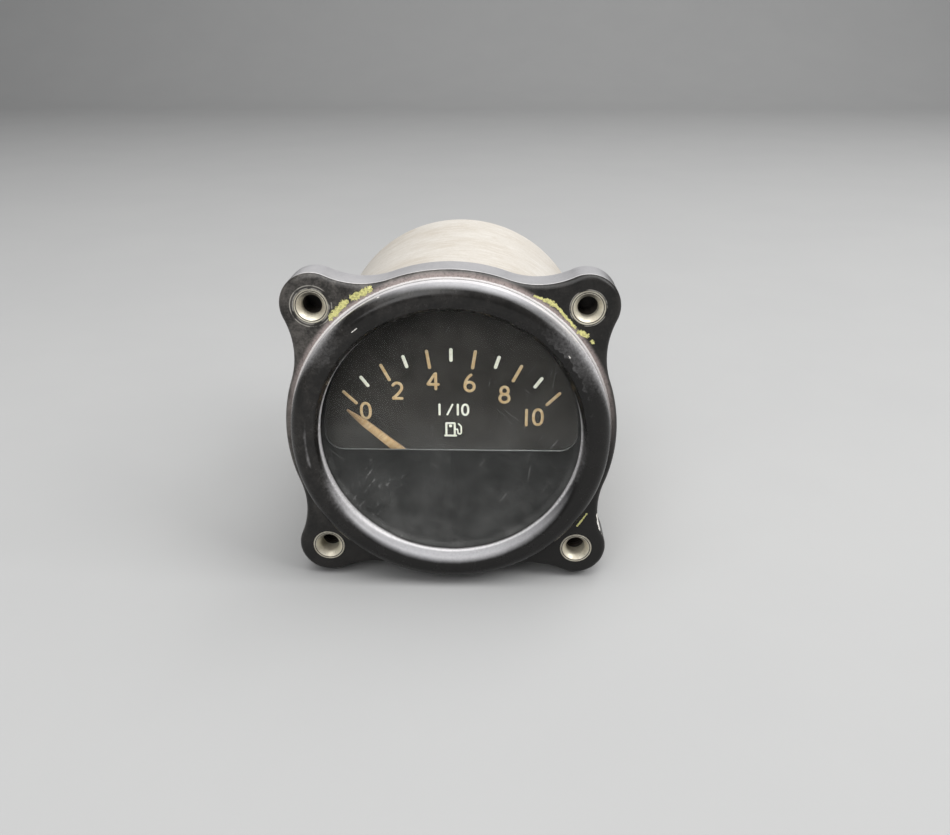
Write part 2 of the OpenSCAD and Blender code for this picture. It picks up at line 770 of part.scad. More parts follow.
module core_screws() {
    head_start = yoke_start + yoke_t;
    tip = yoke_start - tap_l + end_gap;
    color(steel) at_coils() difference() {
        union() {
            translate([0, 0, tip]) cylinder(r = screw_r, h = head_start - tip);
            translate([0, 0, head_start]) cylinder(r = screw_head_r, h = screw_head_t);
        }
        translate([-screw_head_r, -slot_w / 2, head_start + screw_head_t / 2])
            cube([2 * screw_head_r, slot_w, screw_head_t]);
    }
}

// A spool on +Z from 0: a tube with a flange at each end
module spool(l, r_bore, r_tube, r_rim, rim_t) {
    difference() {
        union() {
            cylinder(r = r_tube, h = l);
            cylinder(r = r_rim, h = rim_t);
            translate([0, 0, l - rim_t]) cylinder(r = r_rim, h = rim_t);
        }
        translate([0, 0, -1]) cylinder(r = r_bore, h = l + 2);
    }
}

// The wire on a spool, wound full between the flanges
module winding(l, r_tube, r_wire) {
    difference() {
        cylinder(r = r_wire, h = l);
        translate([0, 0, -1]) cylinder(r = r_tube, h = l + 2);
    }
}

bobbin_tube_r = core_r + press_gap + bobbin_wall;

module coil_bobbins() {
    color(moulding_brown) at_coils() translate([0, 0, coil_start])
        spool(bobbin_l, core_r + press_gap, bobbin_tube_r, bobbin_r, bobbin_flange_t);
}

module coil_windings() {
    color(copper) at_coils() translate([0, 0, coil_start + bobbin_flange_t + press_gap])
        winding(bobbin_l - 2 * bobbin_flange_t - 2 * press_gap, bobbin_tube_r + press_gap,
            bobbin_r - winding_sink);
}

module board_posts() {
    color(brass) for (a = pillar_angles) difference() {
        union() {
            bar(at(pillar_ring_r, a), pillar_r, rear_plate_back_y, board_y);
            bar(at(pillar_ring_r, a), screw_r, rear_plate_y - tap_l + end_gap, rear_plate_back_y);
        }
        bar(at(pillar_ring_r, a), screw_r + press_gap, board_y - tap_l, board_y + 1);
    }
}

spool_stem_r = 1.5;
spool_flange_t = 0.8;
spool_tube_r = 2.4;
spool_places = [[-spool_x, spool_z], [spool_x, spool_z]];
terminal_places = [for (a = terminal_angles) at(terminal_ring_r, a)];
// Each coil has a wire at the middle of either flange of its bobbin
coil_lead_places = [
    for (side = [-1, 1], along = [bobbin_flange_t / 2, bobbin_l - bobbin_flange_t / 2])
        [0, pivot_z] + at(coil_start + along, side * coil_tilt)
];

module resistor_board() {
    color(moulding_brown) difference() {
        bar([0, 0], board_r, board_y, board_back_y);
        for (a = pillar_angles)
            bar(at(pillar_ring_r, a), screw_r + hole_gap, board_y - 1, board_back_y + 1);
        for (p = concat(coil_lead_places, terminal_places))
            bar(p, wire_r + press_gap, board_y - 1, board_back_y + 1);
        for (p = spool_places)
            bar(p, spool_stem_r + press_gap, board_y - 1, board_back_y + 1);
    }
}

module board_screws() {
    color(steel) for (a = pillar_angles)
        rear_screw(at(pillar_ring_r, a), screw_r, screw_head_r,
            board_y - tap_l + end_gap, board_back_y, screw_head_t);
}

module resistor_spools() {
    color(moulding_brown) for (p = spool_places) {
        translate([p[0], board_back_y, p[1]]) rotate([-90, 0, 0])
            spool(spool_l, spool_stem_r / 2, spool_tube_r, spool_r, spool_flange_t);
        difference() {
            bar(p, spool_stem_r, board_y, board_back_y);
            bar(p, spool_stem_r / 2, board_y - 1, board_back_y + 1);
        }
    }
}

module resistor_windings() {
    color(bright_metal) for (p = spool_places)
        translate([p[0], board_back_y + spool_flange_t + press_gap, p[1]]) rotate([-90, 0, 0])
            winding(spool_l - 2 * spool_flange_t - 2 * press_gap, spool_tube_r + press_gap,
                spool_r - winding_sink);
}

module coil_leads() {
    color(copper) for (p = coil_lead_places)
        bar(p, wire_r, coil_y + bobbin_r, board_back_y + wire_r);
}

module terminal_leads() {
    color(copper) for (p = terminal_places)
        bar(p, wire_r, board_y - wire_r, insulator_y - stud_head_t);
}

module case_gasket() {
    color(rubber_black) ring(spigot_r + case_gap, case_r, flange_t, case_front_y);
}

module case_shell() {
    inner_r = case_r - case_wall;
    edge_c = [case_r - case_edge_r, case_back_y - case_edge_r];
    color(case_metal) difference() {
        turned(concat(
            [[inner_r, case_front_y], [case_r, case_front_y]],
            arc(edge_c, case_edge_r, 0, 90),
            [[0, case_back_y], [0, back_inner_y]],
            arc(edge_c, case_edge_r - case_wall, 90, 0)
        ));
        for (p = terminal_places) bar(p, sleeve_hole_r, back_inner_y - 1, case_back_y + 1);
        for (a = case_screw_angles)
            translate([0, case_screw_y, 0]) rotate([0, a, 0])
                translate([0, 0, inner_r - 1]) cylinder(r = case_screw_r + hole_gap, h = case_wall + 2);
    }
}

module case_screws() {
    tip = spigot_bore_r + hole_gap;
    head_overhang = 1;
    head_r = case_screw_r + head_overhang;
    head_t = 1.2;
    color(steel) for (a = case_screw_angles)
        translate([0, case_screw_y, 0]) rotate([0, a, 0]) difference() {
            union() {
                translate([0, 0, tip]) cylinder(r = case_screw_r, h = case_r - tip);
                translate([0, 0, case_r]) cylinder(r = head_r, h = head_t);
            }
            translate([-head_r, -slot_w / 2, case_r + head_t / 2]) cube([2 * head_r, slot_w, head_t]);
        }
}

module terminal_plate() {
    color(moulding_brown) difference() {
        union() {
            bar([0, 0], terminal_plate_r, terminal_plate_y, washer_y);
            for (p = terminal_places) bar(p, sleeve_r, back_inner_y, terminal_plate_y);
        }
        for (p = terminal_places) bar(p, stud_shank_r + run_fit, back_inner_y - 1, washer_y + 1);
    }
}

module terminal_gasket() {
    color(rubber_black) difference() {
        bar([0, 0], terminal_plate_r, case_back_y, terminal_plate_y);
        for (p = terminal_places) bar(p, sleeve_hole_r, case_back_y - 1, terminal_plate_y + 1);
    }
}

module inner_insulator() {
    color(moulding_brown) difference() {
        bar([0, 0], insulator_r, insulator_y, back_inner_y);
        for (p = terminal_places) bar(p, stud_shank_r + run_fit, insulator_y - 1, back_inner_y + 1);
    }
}

module terminal_studs() {
    color(brass) for (p = terminal_places) {
        translate([p[0], insulator_y, p[1]]) rotate([90, 0, 0])
            cylinder(r = stud_head_r, h = stud_head_t, $fn = 6);
        bar(p, stud_shank_r, insulator_y, washer_y);
        bar(p, stud_thread_r, washer_y, stud_free_y);
        bar(p, stud_r, stud_free_y, stud_free_y + stud_free_l);
    }
}

module stud_washers() {
    color(bright_metal) for (p = terminal_places) difference() {
        bar(p, washer_r, washer_y, nut_y);
        bar(p, stud_thread_r + hole_gap, washer_y - 1, nut_y + 1);
    }
}

module stud_nuts() {
    color(brass) for (p = terminal_places) difference() {
        translate([p[0], stud_free_y, p[1]]) rotate([90, 0, 0]) cylinder(r = nut_r, h = nut_t, $fn = 6);
        bar(p, stud_thread_r + press_gap, nut_y - 1, stud_free_y + 1);
    }
}

mounting_flange();
screw_inserts();
bezel_ring();
glass_gasket();
cover_glass();
dial_mask();
dial_spacer();
dial_plate();
dial_screws();
pointer_stops();
pointer();
pointer_bush();
balance_weight();
staff();
armature();
hairspring_collet();
zero_lever();
hairspring();
front_plate();
plate_screws();
front_bearing();
pillars();
rear_plate();
jewel_screw();
jewel_lock_nut();
coil_yoke();
coil_cores();
core_screws();
coil_bobbins();
coil_windings();
board_posts();
resistor_board();
board_screws();
resistor_spools();
resistor_windings();
coil_leads();
terminal_leads();
case_gasket();
case_shell();
case_screws();
terminal_plate();
terminal_gasket();
inner_insulator();
terminal_studs();
stud_washers();
stud_nuts();
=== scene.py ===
import bmesh
import bpy
import numpy as np
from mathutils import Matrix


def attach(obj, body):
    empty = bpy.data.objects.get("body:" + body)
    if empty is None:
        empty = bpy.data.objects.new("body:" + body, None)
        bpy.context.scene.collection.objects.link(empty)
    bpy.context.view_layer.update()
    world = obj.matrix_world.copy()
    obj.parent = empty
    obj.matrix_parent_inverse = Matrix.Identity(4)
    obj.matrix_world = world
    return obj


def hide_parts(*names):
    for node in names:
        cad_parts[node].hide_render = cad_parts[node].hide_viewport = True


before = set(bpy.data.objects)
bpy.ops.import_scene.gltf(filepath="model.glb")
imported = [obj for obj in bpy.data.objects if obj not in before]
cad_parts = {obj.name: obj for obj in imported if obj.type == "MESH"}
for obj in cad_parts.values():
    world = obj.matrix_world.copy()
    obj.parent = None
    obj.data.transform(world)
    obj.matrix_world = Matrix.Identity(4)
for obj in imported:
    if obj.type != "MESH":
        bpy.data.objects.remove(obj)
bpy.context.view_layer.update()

# Mounting flange: an aluminium casting with four ears, painted black over a yellow-green primer.
# The bezel, the dial and the movement are fixed to it, and four screws hold it behind the panel.
# Its edges are soft from the mould and rubbed grey, and the paint is chipped beside the ring.
MM = 0.001
FLANGE_T = 7.2
SCREW = 47.14 / 2
RING_R = 28.45
SPIGOT_R, SPIGOT_END = 27.25, 13.2


def make_piece(name, grids, marks=None, crease=35.0):
    """One mesh from grids of points in mm: neighbours in a grid make quads, points of different
    grids that coincide are joined, and marks gives a named number to every point."""
    starts = np.cumsum([0] + [g.shape[0] * g.shape[1] for g in grids])
    quads = []
    for g, start in zip(grids, starts):
        k = start + np.arange(g.shape[0] * g.shape[1]).reshape(g.shape[:2])
        quads.append(np.stack([k[:-1, :-1], k[1:, :-1], k[1:, 1:], k[:-1, 1:]], -1).reshape(-1, 4))
    mesh = bpy.data.meshes.new(name)
    points = np.concatenate([g.reshape(-1, 3) for g in grids]) * MM
    mesh.from_pydata(points.tolist(), [], np.concatenate(quads).tolist())
    for key, values in (marks or {}).items():
        flat = np.concatenate([v.ravel() for v in values]).astype(np.float32)
        mesh.attributes.new(key, "FLOAT", "POINT").data.foreach_set("value", flat)
    work = bmesh.new()
    work.from_mesh(mesh)
    bmesh.ops.remove_doubles(work, verts=work.verts, dist=2e-6)
    bmesh.ops.recalc_face_normals(work, faces=work.faces)
    work.to_mesh(mesh)
    work.free()
    mesh.polygons.foreach_set("use_smooth", np.ones(len(mesh.polygons), bool))
    mesh.set_sharp_from_angle(angle=np.radians(crease))
    piece = bpy.data.objects.new(name, mesh)
    bpy.context.scene.collection.objects.link(piece)
    return piece


def dress(piece, finish, body="gauge", stands_for=()):
    """Gives a piece its material, the body that it moves with and the nodes it stands for."""
    piece.data.materials.clear()
    piece.data.materials.append(finish)
    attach(piece, body)
    if stands_for:
        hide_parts(*stands_for)


class Finish:
    """A procedural material on Object coordinates. Each method adds nodes and returns their output."""

    def __init__(self, name):
        """Starts a plain material, with the place of each point on the object."""
        self.material = bpy.data.materials.new(name)
        self.material.use_nodes = True
        self.tree = self.material.node_tree
        self.shader = self.tree.nodes["Principled BSDF"]
        self.place = self.tree.nodes.new("ShaderNodeTexCoord").outputs["Object"]

    def put(self, socket, value):
        """Links an output to a socket, or sets the socket's own value."""
        if isinstance(value, bpy.types.NodeSocket):
            self.tree.links.new(value, socket)
        elif isinstance(value, tuple) and len(value) == 3 and socket.type == "RGBA":
            socket.default_value = (*value, 1.0)
        else:
            socket.default_value = value

    def add(self, kind, inputs, out=0, **settings):
        """Adds a node of one kind, fills its inputs and returns one of its outputs."""
        node = self.tree.nodes.new("ShaderNode" + kind)
        for key, value in settings.items():
            setattr(node, key, value)
        for key, value in inputs.items():
            self.put(node.inputs[key], value)
        return node.outputs[out]

    def noise(self, per_mm, detail=3.0, rough=0.55, drawn=(1, 1, 1), lean=0.0):
        """Cloudy noise with so many lumps to a millimetre, drawn out along the axes by factors, and leaned
        by so many degrees about the gauge's axis."""
        inputs = {"Vector": self.place, "Rotation": (0.0, np.radians(lean), 0.0), "Scale": drawn}
        where = self.add("Mapping", inputs, vector_type="TEXTURE")
        inputs = {"Vector": where, "Scale": per_mm / MM, "Detail": detail, "Roughness": rough}
        return self.add("TexNoise", inputs)

    def axis(self, index):
        """One of the coordinates x, y, z, in metres."""
        return self.add("SeparateXYZ", {0: self.place}, out=index)

    def off_axis(self, x=0.0, z=0.0):
        """Distance in mm from a line along y that crosses the face at x, z."""
        flat = self.add("VectorMath", {0: self.place, 1: (1.0, 0.0, 1.0)}, operation="MULTIPLY")
        gap = self.add("VectorMath", {0: flat, 1: (x * MM, 0.0, z * MM)}, out=1, operation="DISTANCE")
        return self.math("MULTIPLY", gap, 1 / MM)

    def wiped(self, per_mm, around, detail=3.0):
        """Cloudy noise drawn out round the gauge's axis, with so many lumps to the radian."""
        flat = self.add("VectorMath", {0: self.place, 1: (1.0, 0.0, 1.0)}, operation="MULTIPLY")
        spoke = self.add("VectorMath", {0: flat}, operation="NORMALIZE")
        spoke = self.add("VectorMath", {0: spoke, "Scale": around}, operation="SCALE")
        lift = self.math("SUBTRACT", self.off_axis(), self.math("MULTIPLY", self.axis(1), 1 / MM))
        lift = self.add("CombineXYZ", {1: self.math("MULTIPLY", lift, per_mm)})
        where = self.add("VectorMath", {0: spoke, 1: lift}, operation="ADD")
        return self.add("TexNoise", {"Vector": where, "Scale": 1.0, "Detail": detail})

    def mark(self, name):
        """The number that the mesh carries under this name."""
        return self.add("Attribute", {}, out="Fac", attribute_name=name)

    def math(self, how, a, b=0.0, clamp=False):
        """One step of arithmetic on a and b."""
        return self.add("Math", {0: a, 1: b}, operation=how, use_clamp=clamp)

    def step(self, value, low, high, to_low=0.0, to_high=1.0):
        """Runs smoothly from one value to the other as the input goes from low to high."""
        inputs = {"Value": value, "From Min": low, "From Max": high, "To Min": to_low, "To Max": to_high}
        return self.add("MapRange", inputs, interpolation_type="SMOOTHSTEP")

    def mix(self, share, a, b):
        """Colour a, with a share of colour b laid over it."""
        return self.add("Mix", {0: share, 6: a, 7: b}, out=2, data_type="RGBA")

    def near(self, strips):
        """Distance to the nearest strip, over that strip's half width; a strip runs from a to b, in mm."""
        best = None
        for a, b, half in strips:
            a, b = np.array(a) * MM, np.array(b) * MM
            from_a = self.add("VectorMath", {0: self.place, 1: tuple(a)}, operation="SUBTRACT")
            along = self.add("VectorMath", {0: from_a, 1: tuple(b - a)}, out=1, operation="DOT_PRODUCT")
            share = self.math("MULTIPLY", along, float(1 / np.dot(b - a, b - a)), clamp=True)
            foot = self.add("VectorMath", {0: tuple(b - a), "Scale": share}, operation="SCALE")
            gap = self.add("VectorMath", {0: from_a, 1: foot}, operation="SUBTRACT")
            length = self.add("VectorMath", {0: gap}, out=1, operation="LENGTH")
            length = self.math("MULTIPLY", length, 1 / (half * MM))
            best = length if best is None else self.math("MINIMUM", best, length)
        return best

    def shade(self, color, rough, metal=0.0, height=None, depth=0.02, **fixed):
        """Sets the shader; height is a bump so many millimetres deep, and the rest are plain values."""
        self.put(self.shader.inputs["Base Color"], color)
        self.put(self.shader.inputs["Roughness"], rough)
        self.put(self.shader.inputs["Metallic"], metal)
        for key, value in fixed.items():
            self.shader.inputs[key.replace("_", " ")].default_value = value
        if height is not None:
            bump = self.add("Bump", {"Height": height, "Distance": depth * MM, "Strength": 1.0})
            self.tree.links.new(bump, self.shader.inputs["Normal"])
        return self.material


def swing(centre, r, start, end, count):
    """Points of an arc, as complex numbers, round a centre from one angle to another in degrees."""
    return centre + r * np.exp(1j * np.radians(np.linspace(start, end, count)))


def flange_path():
    """The flange's outline: in each quarter the round waist, a hollow, the ear round its screw, the other
    hollow and the waist again. Returns the path and its inward normals."""
    waist_r, ear_r, hollow_r = 29.89, 5.6, 15.0
    ear, out = SCREW * np.sqrt(2), waist_r + hollow_r
    half = np.degrees(np.arccos((ear**2 + out**2 - (ear_r + hollow_r) ** 2) / (2 * ear * out)))
    centre = out * np.exp(1j * np.radians(half))
    turn = np.degrees(np.angle(centre - ear))
    hollow = swing(centre, hollow_r, turn + 180, half + 180, 40)
    waist = swing(0, waist_r, half, 45, 20)
    upper = np.concatenate([swing(ear, ear_r, 0, turn, 48), hollow[1:], waist[1:-1]])
    quarter = np.concatenate([np.conj(upper[:0:-1]), upper, waist_r * np.exp([0.25j * np.pi])])
    path = np.outer(np.exp(1j * np.radians(45 + 90 * np.arange(4))), quarter).ravel()
    along = np.roll(path, -1) - np.roll(path, 1)
    return path, 1j * along / abs(along)


def stand(flat, depth):
    """Complex numbers across the axis, at their depths along it, become points."""
    flat, depth = np.broadcast_arrays(flat, depth)
    return np.stack([flat.real, depth, flat.imag], -1)


def flange_grids(front_soft, rear_soft):
    """The rim is a rounded profile carried along the outline. Each face is split into four cells that
    spread from a screw hole to the outline, and four strips from the ring to the waist between them."""
    path, inward = flange_path()
    loop = np.append(np.arange(len(path)), 0)
    bend = np.radians(np.linspace(0, 90, 9))
    side_y = [1.0, 1.1, 1.2, 1.4, 1.6, 2.0, 3.5, 5.5]
    front_in, rear_in = front_soft * (1 - np.sin(bend)), rear_soft * (1 - np.cos(bend))
    rim_in = np.concatenate([front_in, np.zeros(len(side_y)), rear_in])
    rear_y = FLANGE_T - rear_soft * (1 - np.sin(bend))
    rim_y = np.concatenate([front_soft * (1 - np.cos(bend)), side_y, rear_y])
    grids = [stand(path[loop, None] + inward[loop, None] * rim_in, rim_y)]
    upward = np.clip(-inward.imag[loop, None], 0, 1)
    edges = [upward * np.exp(-(((rim_y - 1.1) / 0.25) ** 2)) + 0.25 * np.exp(-(((rim_y - 0.3) / 0.4) ** 2))]
    dusts = [upward * np.clip((rim_y - 0.5) / 0.7, 0, 1)]
    hole_r, groove_w = 3.02, 0.03
    count, cut, rows = len(path) // 4, 66, np.linspace(0, 1, 7)
    tips = count // 2 - 1 + count * np.arange(4)
    ears = path[tips] / abs(path[tips]) * SCREW * np.sqrt(2)
    spread = np.angle(path[tips[0] + cut] / ears[0])
    fan = np.exp(1j * np.linspace(spread, -spread, 24))
    unit = path / abs(path)
    ring, holes = [], []
    for depth, start_r, soft in ((0.0, RING_R + groove_w, front_soft), (FLANGE_T, SPIGOT_R, rear_soft)):
        edge, foot = path + inward * soft, start_r * unit
        for k, (tip, ear) in enumerate(zip(tips, ears)):
            fence = np.arange(tip - cut, tip + cut + 1) % len(path)
            waist = np.arange(tip + cut, tip + count - cut + 1) % len(path)
            one, two = fence[-1], fence[0]
            arc = start_r * ear / abs(ear) * fan
            seam_out = foot[two] + (edge - foot)[two] * rows
            seam_in = edge[one] - (edge - foot)[one] * rows
            border = np.concatenate([edge[fence], seam_in, arc, seam_out])
            if depth == 0.0:
                holes.append(ear + hole_r * np.exp(1j * np.angle(border - ear)))
                ring.append(np.append(ear / abs(ear) * fan[::-1], unit[waist]))
                grids.append(stand(holes[k][:, None] * np.ones(2), np.array([0.0, FLANGE_T])))
            grids.append(stand(holes[k][:, None] + (border - holes[k])[:, None] * rows, depth))
            grids.append(stand(foot[waist][:, None] + (edge - foot)[waist][:, None] * rows, depth))
    around = np.concatenate(ring)
    recess = [[28.48, 0], [28.48, 0.3], [27.02, 0.3], [27.02, 2.62], [25.6, 2.62], [25.6, 4.9]]
    web = [[19.55, 4.9], [19.55, FLANGE_T], [25.2, FLANGE_T]]
    spigot = [[25.2, SPIGOT_END], [SPIGOT_R, SPIGOT_END], [SPIGOT_R, FLANGE_T]]
    bores = np.array(recess + web + spigot)
    grids.append(stand(np.append(around, around[0])[:, None] * bores[:, 0], bores[:, 1]))
    plain = [np.zeros(g.shape[:2]) for g in grids[1:]]
    return grids, {"edge": edges + plain, "dust_and_sheen": dusts + plain}


def black_paint(name, fade, rub_and_highlight, dust, gloss, beside=0.0, chips=(), pale=(), scored=()):
    """Satin black paint, faded to a brownish grey in clouds, with painted light making it lighter towards
    the upper left, and worn in a band beside the ring, edged by a thin nearly white line that is worn edge
    and painted highlight, both strongest at the top. It is rubbed to grainy grey metal where the edge mark
    says, and on the ring that mark also carries a painted sheen. It is grey with settled dust where the
    dust mark says, and on the ring's top that dust also stands in for a painted highlight. It is scored in
    thin circles, and chipped off in strips with ragged sides, down to the primer or to pale metal."""
    f = Finish(name)
    fine, cloud = f.noise(2.2, 4, 0.65), f.noise(0.25, 5, 0.65)
    # Painted light: the brownish fade grows towards the top and the left, so the paint reads lighter at the
    # upper left.
    high = f.step(f.axis(2), -24 * MM, 0.0, 0.12 * fade, fade)
    left = f.step(f.axis(0), 24 * MM, -8 * MM, 0.15, 1.0)
    mottle = f.math("ADD", f.math("MULTIPLY", cloud, 0.7), f.math("MULTIPLY", fine, 0.3))
    faded_and_painted_light = f.math("MULTIPLY", f.math("MULTIPLY", high, left), f.step(mottle, 0.4, 0.62, 0.15, 1.0))
    color = f.mix(faded_and_painted_light, (0.009, 0.0085, 0.008), (0.098, 0.090, 0.082))
    if beside:
        color = f.mix(f.step(f.noise(6.0, 2), 0.6, 0.8, 0.0, 0.25), color, (0.20, 0.19, 0.17))
        # Weighted towards the top: the worn band, and a thin nearly white line that is worn edge and
        # painted highlight.
        high = f.step(f.axis(2), -6 * MM, 24 * MM, 0.0, beside)
        band = f.math("MULTIPLY", f.step(f.off_axis(), 29.9, 28.9), f.step(fine, 0.25, 0.55, 0.3, 1.0))
        color = f.mix(f.math("MULTIPLY", band, high), color, (0.42, 0.35, 0.33))
        line = f.step(f.math("ADD", f.off_axis(), f.math("MULTIPLY", fine, 0.4)), 29.1, 28.95)
        color = f.mix(f.math("MULTIPLY", line, high), color, (0.95, 0.92, 0.90))
    for x, z, r, half in scored:
        gap = f.math("ABSOLUTE", f.math("SUBTRACT", f.off_axis(x, z), r))
        broken = f.step(f.noise(0.5, 3), 0.4, 0.55, 0.0, 0.7)
        line = f.math("MULTIPLY", f.step(gap, half, 0.4 * half), broken)
        color = f.mix(line, color, (0.42, 0.40, 0.36))
    # The dust mark is settled dust; on the ring's top it also stands in for a painted highlight.
    settled_and_sheen = f.math("ADD", f.mark("dust_and_sheen"), f.math("MULTIPLY", cloud, 0.1))
    settled_and_sheen = f.step(settled_and_sheen, 0.60, 1.07, 0.0, dust)
    dust_and_sheen_grey = f.mix(f.step(fine, 0.35, 0.7), (0.42, 0.415, 0.425), (0.36, 0.355, 0.365))
    color = f.mix(settled_and_sheen, color, dust_and_sheen_grey)
    # On the ring the edge mark also carries painted sheen and painted highlight, so this pale grey is
    # partly bare metal and partly painted highlight.
    bare_and_highlight = f.math("ADD", f.math("MULTIPLY", f.mark("edge"), rub_and_highlight), f.math("MULTIPLY", fine, 0.14))
    grain = f.step(f.noise(1.9, 4, 0.75), 0.36, 0.56, 0.66, 1.0)
    bare_and_highlight = f.math("MULTIPLY", f.step(bare_and_highlight, 0.27, 0.87, 0.0, 0.93), grain)
    color = f.mix(bare_and_highlight, color, (0.84, 0.82, 0.825))
    rough = f.step(cloud, 0.3, 0.7, gloss - 0.03, gloss + 0.08)
    rough = f.math("ADD", rough, f.math("MULTIPLY", settled_and_sheen, 0.2))
    height = f.math("MULTIPLY", f.noise(1.1, 2), 0.4)
    for strips, tint, wild in ((chips, (0.72, 0.69, 0.28), 3.4), (pale, (0.86, 0.83, 0.77), 0.9)):
        if strips:
            ragged = f.math("MULTIPLY", f.noise(1.5, 5, 0.75), wild)
            gone = f.step(f.math("ADD", f.near(strips), ragged), 0.5 * wild + 0.85, 0.5 * wild + 0.65)
            under = f.mix(f.step(fine, 0.42, 0.64), tint, tuple(0.58 * c for c in tint))
            color = f.mix(gone, color, under)
            rough = f.math("ADD", rough, f.math("MULTIPLY", gone, 0.25))
            height = f.math("SUBTRACT", height, f.math("MULTIPLY", gone, 0.7))
    return f.shade(color, rough, f.math("MULTIPLY", bare_and_highlight, 0.4), height, 0.03, Specular_IOR_Level=0.27)


def strips_of(points, half, depth=0.0):
    """Strips, one after another, through points [x, z] at a depth behind the flange's face."""
    return [((a[0], depth, a[1]), (b[0], depth, b[1]), half) for a, b in zip(points, points[1:])]


grids, marks = flange_grids(0.9, 0.35)
flange = make_piece("flange_casting", grids, marks)
primer = (strips_of([[-20.2, 21.7], [-18.9, 23.1], [-17.6, 24.4]], 0.7)
          + strips_of([[-16.3, 25.2], [-13.6, 26.5]], 0.75)
          + strips_of([[14.4, 25.6], [15.6, 25.2]], 0.26)
          + strips_of([[16.2, 24.9], [17.9, 24.1]], 0.5)
          + strips_of([[17.9, 24.1], [19.6, 22.3], [21.4, 20.2]], 0.3)
          + strips_of([[22.2, 19.4], [23.5, 18.7]], 0.55)
          + strips_of([[24.4, 17.7], [24.5, 17.5]], 0.45)
          + strips_of([[23.6, -18.7], [25.3, -16.1]], 0.2))
sliver = (strips_of([[27.3, -16.5], [27.75, -17.8]], 0.4, 0.45)
          + strips_of([[27.75, -17.8], [28.3, -19.5]], 0.66, 0.45)
          + strips_of([[28.3, -19.5], [28.65, -20.5]], 0.45, 0.45))
screw_marks = [(-SCREW, SCREW, 3.12, 0.12), (-SCREW, SCREW, 3.6, 0.12), (SCREW, SCREW, 3.15, 0.1)]
flange_paint = black_paint("flange_paint", fade=1.0, rub_and_highlight=0.7, dust=0.68, gloss=0.36, beside=0.9,
                           chips=primer, pale=sliver, scored=screw_marks)
dress(flange, flange_paint, stands_for=["mounting_flange"])

# Screw inserts: four turned bushes of plated brass, pressed into the ears, with a thread for the
# panel screws and a wide countersink at the mouth, and closed at the back. The plating has dulled to a
# champagne grey, with paint left on the face and grime round the lower rims. The thread deep in the bore
# and the upper side of the mouth are painted near black as shade.
def turned(profile, centre=0j, around=192):
    """A profile of [radius, depth] points carried round an axis that crosses the face at a centre."""
    turn = np.exp(1j * np.linspace(0, 2 * np.pi, around + 1))
    profile = np.array(profile, float)
    return stand(centre + turn[:, None] * profile[:, 0], profile[:, 1])


def thread(root, crest, start, end, pitch, centre=0j, around=48):
    """A screw thread: the radius climbs and falls between root and crest once to each pitch, and the
    pattern moves along by one pitch in each turn."""
    turn = np.linspace(0, 2 * np.pi, around + 1)
    depth = np.arange(start, end + pitch / 16, pitch / 8)
    wave = abs(2 * ((depth[None] / pitch - turn[:, None] / (2 * np.pi)) % 1) - 1)
    fade = np.clip(np.minimum(depth - start, end - depth) / (0.5 * pitch), 0, 1)
    return stand(centre + np.exp(1j * turn)[:, None] * (root + (crest - root) * wave * fade), depth)


def bright_metal(name, color, rough, stain, drawn=(1, 1, 1), shine=0.85):
    """Dulled bright metal: fine tool lines, cloudy tarnish, dark grains of dirt, and near black where the
    mesh has a darkening mark: grime and paint, and in the inserts' holes painted shade. Shine is how far
    it reflects as bare metal."""
    f = Finish(name)
    tool, cloud, dirt = f.noise(6.0, 2, drawn=drawn), f.noise(0.4, 4, 0.6), f.noise(3.0, 3, 0.7)
    shade = f.mix(f.step(cloud, 0.4, 0.68), color, stain)
    shade = f.mix(f.step(dirt, 0.6, 0.74, 0.0, 0.7), shade, tuple(0.25 * c for c in stain))
    grime_and_shade = f.step(f.math("ADD", f.mark("grime_and_shade"), f.math("MULTIPLY", dirt, 0.3)), 0.3, 1.1)
    shade = f.mix(grime_and_shade, shade, (0.035, 0.03, 0.026))
    metal = f.math("SUBTRACT", shine, f.math("MULTIPLY", grime_and_shade, shine))
    return f.shade(shade, f.step(cloud, 0.3, 0.7, rough, rough + 0.2), metal, tool, 0.012)


